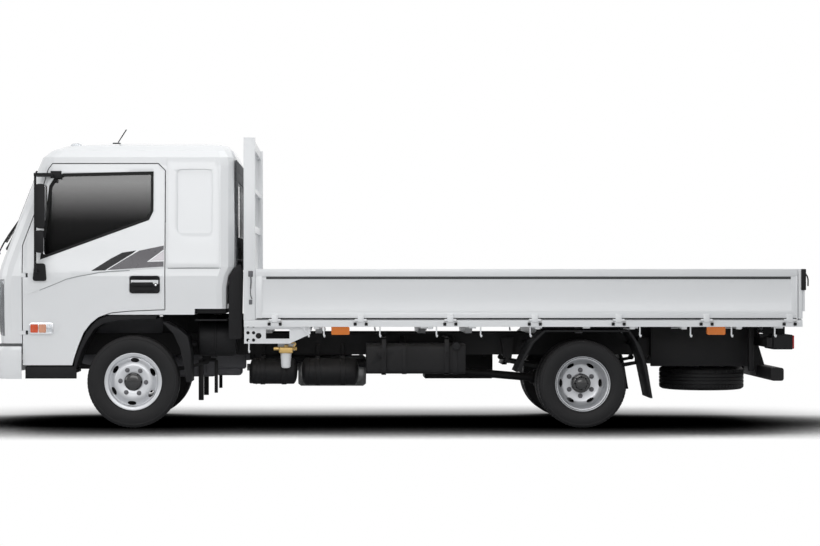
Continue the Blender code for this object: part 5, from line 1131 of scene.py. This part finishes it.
# %% Padded seats
def pad(size, across=(), along=(), cuts=26, cap=0.022):
    """A sewn pad round the origin: size is length, width, thickness; seams are shares of the half size."""
    fresh()
    bpy.ops.mesh.primitive_cube_add(size=2)
    piece = bpy.context.object
    edit(piece)
    bpy.ops.mesh.subdivide(number_cuts=cuts)
    bpy.ops.object.mode_set(mode="OBJECT")
    row = 1.02 / (cuts + 1)
    sewn = []
    for vertex in piece.data.vertices:
        a, b, c = vertex.co
        lines = [abs(a - seam) < row for seam in across] + [abs(b - seam) < row for seam in along]
        rim = max(abs(a), abs(b)) > 0.999 and abs(c - 0.48) < row
        if rim or (c > 0.999 and any(lines)):
            sewn.append(vertex.index)
        share = max(abs(a), abs(b), abs(c)) / (abs(a) ** 7 + abs(b) ** 7 + abs(c) ** 7) ** (1 / 7)
        a, b, c = (value * share for value in (a, b, c))
        a, b = a * (0.985 - 0.035 * (1 - b * b)), b * (0.985 - 0.03 * (1 - a * a))
        crown = 0.16 * (1 - a * a) * (1 - b * b) if c > 0 else 0.0
        dent = 0.1 if c > 0.5 and any(lines) else 0.0
        vertex.co = (a * size[0] / 2, b * size[1] / 2, (c * (0.92 + crown) - dent) * size[2] / 2)
    held = piece.vertex_groups.new(name="sewn")
    held.add(sewn, 1.0, "REPLACE")
    before = [vertex.co.copy() for vertex in piece.data.vertices]
    cloth = piece.modifiers.new("stuffing", "CLOTH")
    cloth.settings.quality = 4
    cloth.settings.use_pressure = True
    cloth.settings.uniform_pressure_force = 4.0
    cloth.settings.effector_weights.gravity = 0.0
    cloth.settings.vertex_group_mass = held.name
    for step in range(1, 16):
        bpy.context.scene.frame_set(step)
    blown = piece.evaluated_get(bpy.context.evaluated_depsgraph_get())
    after = [vertex.co.copy() for vertex in blown.data.vertices]
    piece.modifiers.clear()
    bpy.context.scene.frame_set(1)
    for vertex, old, new in zip(piece.data.vertices, before, after):
        move = new - old
        vertex.co = old + (move if move.length < cap else move * (cap / move.length))
    apply_modifier(piece, "SUBSURF", levels=1, render_levels=1)
    return piece


LEAN = math.radians(20.9)
UPRIGHT = Matrix(((math.sin(LEAN), 0.0, -math.cos(LEAN)), (0.0, 1.0, 0.0),
                  (math.cos(LEAN), 0.0, math.sin(LEAN)))).to_4x4()


def upholstered(piece, name, at):
    """Put a pad at its seat, with the seat cloth."""
    piece.matrix_world = at
    place(piece, name, CLOTH, "cab", smooth=60.0)
    return piece


for name, low, high, seats, seams in (("driver", 0.23, 0.78, (0.505,), (-0.63, 0.63)),
                                      ("passenger", -0.86, 0.13, (-0.61, -0.12), (-0.78, 0.0, 0.78))):
    centre, width = (low + high) / 2, high - low
    cushion = upholstered(pad((0.67, width, 0.15), (-0.41, 0.11), seams), f"cushion_{name}",
                          Matrix.Translation((-2.268, centre, 1.322)))
    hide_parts(f"seat_{name}")
    upholstered(pad((0.655, width - 0.01, 0.14), (-0.33, 0.26), seams), f"backrest_{name}",
                Matrix.Translation((-1.862, centre, 1.648)) @ UPRIGHT)
    posts = []
    for index, y in enumerate(seats):
        upholstered(pad((0.15, 0.27, 0.095), cuts=14, cap=0.01), f"headrest_{name}_{index + 1}",
                    Matrix.Translation((-1.712, y, 2.052)) @ UPRIGHT)
        posts += [rod([(-1.752, y + side, 1.925), (-1.712, y + side, 2.035)], 0.006, False)
                  for side in (-0.055, 0.055)]
    place(joined(posts), f"headrest_posts_{name}", CHROME, "cab")
    base = [block((-2.545, low + 0.03, 1.022), (-1.975, high - 0.03, 1.245), 0.018, 3),
            block((-2.555, low + 0.015, 1.235), (-1.96, high - 0.015, 1.262), 0.008),
            block((-2.06, low + 0.005, 1.23), (-1.975, low + 0.03, 1.42), 0.01),
            block((-2.06, high - 0.03, 1.23), (-1.975, high - 0.005, 1.42), 0.01)]
    place(joined(base), f"seat_base_{name}", PLASTIC, "cab")
print("seats done")

# %% [markdown]
# Seen from the side the tail lamp is a black housing on a bracket, and its three lenses look back only. The
# cab's rear floor member, the bed's runner and the side plate of the spare's carrier are dark, and so is the
# cover of the aerial's foot.

# %% Tail lamps, dark members and aerial foot
housing = [block((3.256, -0.945, 0.67), (3.426, -0.566, 0.797), 0.008, 3),
           block((3.18, -0.8, 0.768), (3.3, -0.64, 0.798), 0.004),
           block((3.205, -0.79, 0.78), (3.39, -0.75, 0.862), 0.004)]
both_sides(joined(housing), "tail_lamp_housing", PLASTIC, "chassis")
for side in ("left", "right"):
    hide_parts(f"tail_lamp_{side}")
for name, low, high, material in (("red", -0.94, -0.826, RED), ("orange", -0.822, -0.706, ORANGE),
                                  ("clear", -0.702, -0.571, CLEAR)):
    both_sides(block((3.42, low, 0.676), (3.4395, high, 0.791), 0.006, 3), "tail_lens_" + name, material, "chassis")
place(block((-1.8, -0.925, 0.978), (-1.432, 0.925, 1.046), 0.006), "cab_floor_member", CHASSIS, "cab")
both_sides(block((1.325, -0.345, 0.78), (3.24, -0.318, 0.902), 0.004), "bed_runner", CHASSIS, "chassis")
both_sides(block((2.27, -0.505, 0.508), (3.136, -0.48, 0.862), 0.006), "carrier_plate", CHASSIS, "chassis")
aerial = [rod([(-2.415, -0.48, 2.452), (-2.33, -0.48, 2.586)], 0.005, False),
          block((-2.4515, -0.5015, 2.42), (-2.3785, -0.4585, 2.4715), 0.008, 3)]
place(joined(aerial), "aerial_cover", PLASTIC, "cab")


# %% [markdown]
# The photograph doesn't show the front, so its parts are kept plain and usual. Each is laid on the CAD surface:
# a ray along X finds the nose at every point, and bars, seals and lamps follow what it hits.

# %% Grille bars, lamps and windscreen seal
def nose(y, z, nodes, usual=None, start=-5.0):
    """Where a ray along X first meets one of the nodes, from the front, or from behind if start is positive."""
    found = []
    for node in nodes:
        hit, spot = bpy.data.objects[node].ray_cast((start, y, z), (-math.copysign(1.0, start), 0.0, 0.0))[:2]
        if hit:
            found.append(spot.x)
    if not found:
        print("no surface at", y, z, nodes)
        return usual
    return min(found) if start < 0 else max(found)


def on_nose(points, nodes, proud):
    """The points (y, z) laid on the front, proud of what a ray meets there."""
    laid = [(nose(y, z, nodes), y, z) for y, z in points]
    return [(x - proud, y, z) for x, y, z in laid if x is not None]


LEVELS = [0.83 + 0.0125 * step for step in range(29)]
BAR_HALF, FRAME_HALF, BAR_PROUD = 0.5, 0.545, 0.002


def slat_face(y, z):
    """The smooth face that the slats of the grille touch, as an x."""
    hits = [nose(y, level, ("grille",)) for level in LEVELS if abs(level - z) < 0.035]
    return min([x for x in hits if x is not None] or [-3.47]) - BAR_PROUD


bars = []
for z in (0.845, 0.905, 0.965, 1.025, 1.085, 1.145):
    near_x, middle_x, far_x = [slat_face(y, z) for y in (-BAR_HALF, 0.0, BAR_HALF)]
    bend = (max(near_x, far_x) - middle_x) / BAR_HALF ** 2
    bars.append(rod([(middle_x + bend * y ** 2, y, z) for y in [-0.52 + 0.13 * step for step in range(9)]], 0.0105))
    if z in (0.845, 1.145):
        edge_z = z + (0.033 if z > 1 else -0.027)
        bars.append(rod([(middle_x + bend * y ** 2 + BAR_PROUD, y, edge_z)
                         for y in [-FRAME_HALF + 0.109 * step for step in range(11)]], 0.0085))
        corner = middle_x + bend * FRAME_HALF ** 2 + BAR_PROUD
        corners = (corner,) if z < 1 else (corners[0], corner)
for y in (-FRAME_HALF, FRAME_HALF):
    bars.append(rod([(corners[0], y, 0.818), (corners[1], y, 1.178)], 0.0085, False))
place(joined(bars), "grille_bars", SILVER, "cab")

LAMP_Y, LAMP_USUAL_X = -0.79, -3.41
bowls = []
for z, radius in ((0.905, 0.07), (1.06, 0.058)):
    lip = radius + 0.006
    bowl = turned([(0.0, 0.05), (radius * 0.5, 0.046), (radius * 0.85, 0.03), (radius, 0.012), (lip, 0.012),
                   (lip, 0.02), (radius * 0.9, 0.04), (radius * 0.5, 0.056), (0.0, 0.06)], 40)
    bowls.append(moved(bowl, (nose(LAMP_Y, z, ("headlamp_left",), LAMP_USUAL_X), LAMP_Y, z), -1, "Z"))
both_sides(joined(bowls), "headlamp_bowls", CHROME, "cab")
face = nose(LAMP_Y, 0.98, ("headlamp_left",), LAMP_USUAL_X)
both_sides(block((face + 0.062, -0.95, 0.815), (face + 0.074, -0.66, 1.235), 0.006), "headlamp_bezel", CAST, "cab",
           "grey_steel")

SEAL_TOP, SEAL_LOW, SEAL_TOP_HALF, SEAL_LOW_HALF = 2.2, 1.535, 0.735, 0.78
sides = [(SEAL_LOW_HALF - (SEAL_LOW_HALF - SEAL_TOP_HALF) * k / 8, SEAL_LOW + (SEAL_TOP - SEAL_LOW) * k / 8)
         for k in range(9)]
seal = [rod(on_nose(part, ("windscreen", "cab_shell"), 0.004), 0.012) for part in (
    [(SEAL_LOW_HALF * (k / 6 - 1), SEAL_LOW) for k in range(13)],
    [(SEAL_TOP_HALF * (k / 6 - 1), SEAL_TOP) for k in range(13)], [(-y, z) for y, z in sides], sides)]
place(joined(seal), "windscreen_seal", RUBBER, "cab")

BUMPER = BODY_OF["bumper"]
FOG_Y, FOG_Z = -0.66, 0.565
face = nose(FOG_Y + 0.105, FOG_Z, ("bumper_soft",), -3.495)
ring = turned([(0.03, 0.01), (0.031, 0.001), (0.038, -0.001), (0.041, 0.004), (0.041, 0.022), (0.034, 0.022)], 36,
              closed=True)
lens = turned([(0.0, 0.003), (0.018, 0.004), (0.031, 0.007), (0.031, 0.016), (0.0, 0.018)], 36)
both_sides(moved(ring, (face, FOG_Y, FOG_Z), -1, "Z"), "fog_lamp_ring", CHROME, BUMPER)
both_sides(moved(lens, (face, FOG_Y, FOG_Z), -1, "Z"), "fog_lamp_lens", CLEAR, BUMPER)
both_sides(block((face + 0.016, FOG_Y - 0.084, FOG_Z - 0.044), (face + 0.032, FOG_Y + 0.084, FOG_Z + 0.044), 0.004),
           "fog_lamp_back", PLASTIC, BUMPER)
intake = [block((-3.478, -0.398, 0.467), (-3.47, 0.398, 0.529), 0.002)]
intake += [rod([(-3.4815, -0.396, z), (-3.4815, 0.396, z)], 0.003, False) for z in (0.48, 0.497, 0.514)]
intake += [rod([(-3.479, y, 0.468), (-3.479, y, 0.528)], 0.0025, False)
           for y in [-0.378 + step * 0.054 for step in range(15)]]
place(joined(intake), "bumper_intake", PLASTIC, BUMPER)
mirrors = []
for z, half in ((1.915, 0.15), (1.555, 0.07)):
    face = nose(-1.15, z, ("mirror_left_soft",), start=5.0)
    if face:
        mirrors.append(block((face - 0.004, -1.225, z - half), (face + 0.0015, -1.085, z + half), 0.004, 3))
both_sides(joined(mirrors), "mirror_glass", CHROME, "cab")
print("front done", len(mirrors))

# %% [markdown]
# Inside the cab stand the gear lever with its boot, the hand brake and three pedals. On the bed the floor is
# ribbed sheet.

# %% Controls and floor ribs
knob = turned([(0.0, -0.03), (0.016, -0.026), (0.026, -0.008), (0.026, 0.01), (0.016, 0.026), (0.0, 0.03)], 24)
boot = turned([(0.0, -0.05), (0.02, -0.05), (0.032, -0.02), (0.03, -0.01), (0.048, 0.02), (0.046, 0.03),
               (0.07, 0.06), (0.0, 0.06)], 24)
controls = [rod([(-2.66, 0.02, 1.02), (-2.64, 0.02, 1.22), (-2.69, 0.03, 1.42)], 0.009),
            rod([(-2.48, 0.18, 1.02), (-2.56, 0.18, 1.15), (-2.66, 0.18, 1.19)], 0.013)]
for y in (0.36, 0.5, 0.64):
    controls += [rod([(-3.08, y, 1.33), (-3.0, y, 1.16), (-2.99, y, 1.12)], 0.008, resolution=5),
                 block((-3.01, y - 0.035, 1.085), (-2.985, y + 0.035, 1.15), 0.006)]
controls += [moved(knob, (-2.69, 0.03, 1.43)), moved(boot, (-2.658, 0.02, 1.075), -1)]
place(joined(controls), "cab_controls", PLASTIC, "cab")
ribs = [block((-1.17, 0.13 * step - 0.045, 0.9365), (3.43, 0.13 * step + 0.045, 0.9425), 0.002)
        for step in range(-7, 8)]
place(joined(ribs), "deck_ribs", BED_WHITE, "chassis")


# %% [markdown]
# The last small things on the near side are the fuel filter's brass head with its white cup and lever, the two
# straps that hold the fuel tank to the frame, and the tank's cap.

# %% Fuel filter head, tank straps and cap
cup = turned([(0.0, -0.066), (0.03, -0.064), (0.04, -0.052), (0.046, 0.04), (0.048, 0.06), (0.044, 0.066),
              (0.0, 0.066)], 36)
place(moved(cup, (-0.923, -0.79, 0.57), 1), "filter_cup", BED_WHITE, "chassis")
head = [block((-0.985, -0.84, 0.634), (-0.86, -0.74, 0.69), 0.012, 3),
        rod([(-1.028, -0.79, 0.672), (-0.828, -0.79, 0.672)], 0.016, False),
        rod([(-0.86, -0.79, 0.69), (-0.84, -0.79, 0.715), (-0.88, -0.79, 0.722)], 0.007, resolution=5),
        block((-0.94, -0.76, 0.66), (-0.905, -0.44, 0.7), 0.006)]
place(joined(head), "filter_head", BRASS, "chassis")
straps = []
for x in (x_of(384), x_of(447)):
    straps += [block((x - 0.02, -0.9535, 0.47), (x + 0.02, -0.948, 0.758), 0.002),
               block((x - 0.02, -0.945, 0.768), (x + 0.02, -0.35, 0.7735), 0.002),
               block((x - 0.02, -0.945, 0.4525), (x + 0.02, -0.35, 0.4575), 0.002),
               rod([(x, -0.957, 0.6), (x, -0.957, 0.65)], 0.006, False)]
place(joined(straps), "tank_straps", CHASSIS, "chassis")
cap = turned([(0.0, -0.03), (0.03, -0.028), (0.036, -0.022), (0.036, -0.006), (0.026, -0.004), (0.026, 0.004),
              (0.0, 0.005)], 32)
place(moved(cap, (0.54, -0.95, 0.7)), "tank_cap", PLASTIC, "chassis")


# %% [markdown]
# Below the cab's recessed quarter panel and along the door's rising line the pressing lies in a soft shade. A
# thin strip of grey lies in each as painted shadow, a pixel or two high in the photograph.

# %% Painted shadow lines on the cab side
# A grey paint that stands in for the shade along the pressings: painted shadow.
PAINTED_SHADE = finish("painted_shade_strip_grey", "white_paint", (0.36, 0.37, 0.38), 0.6, vary=0.08, scale=5.0)
rough = sheet_on(outline_of((168, 268.7), (221, 268.7), (221, 269.9), (168, 269.9)), "cab_shell", 0.0005, 0.0006)
both_sides(rough, "side_pressed_line", PAINTED_SHADE, "cab")
line = RISING_LINE[1:-1]
strip = outline_of(*line, *[(px, py + 0.9) for px, py in reversed(line)])
both_sides(sheet_on(strip, "door_panel_left", 0.0006, 0.0006), "door_pressed_line", PAINTED_SHADE, "door_{side}")

# %% [markdown]
# The cab's rear wall lies in shade and looks dark from edge to edge. A ribbed panel of dark plastic is laid on it
# round the rear window as painted shade. A ray from behind gives each rib its place on the wall.

# %% Ribbed panel of painted shade on the cab's rear wall
# A dark grey for the panel on the rear wall, which stands in for the shade there: painted shade.
rear_wall_shade_paint = finish("rear_wall_painted_shade", "black_plastic", (0.045, 0.048, 0.053), 0.62, vary=0.12, scale=9.0,
                    grain=0.3, grain_scale=700.0)
PANEL_Y, WINDOW_Y = 0.885, 0.563
FULL, BESIDE = ((-PANEL_Y, PANEL_Y),), ((-PANEL_Y, -WINDOW_Y), (WINDOW_Y, PANEL_Y))
ribs = []
for bottom, top, count, spans in ((1.06, 1.64, 6, FULL), (1.64, 2.12, 5, BESIDE), (2.12, 2.3, 2, FULL)):
    rise = (top - bottom) / count
    for step in range(count):
        level = bottom + step * rise
        wall = nose(0.75, level + rise / 2, ("cab_shell",), start=5.0)
        for low_y, high_y in spans:
            ribs.append(block((wall - 0.006, low_y, level), (wall + 0.007, high_y, level + rise - 0.0015), 0.004))
place(joined(ribs), "cab_rear_wall_painted_shade", rear_wall_shade_paint, "cab")
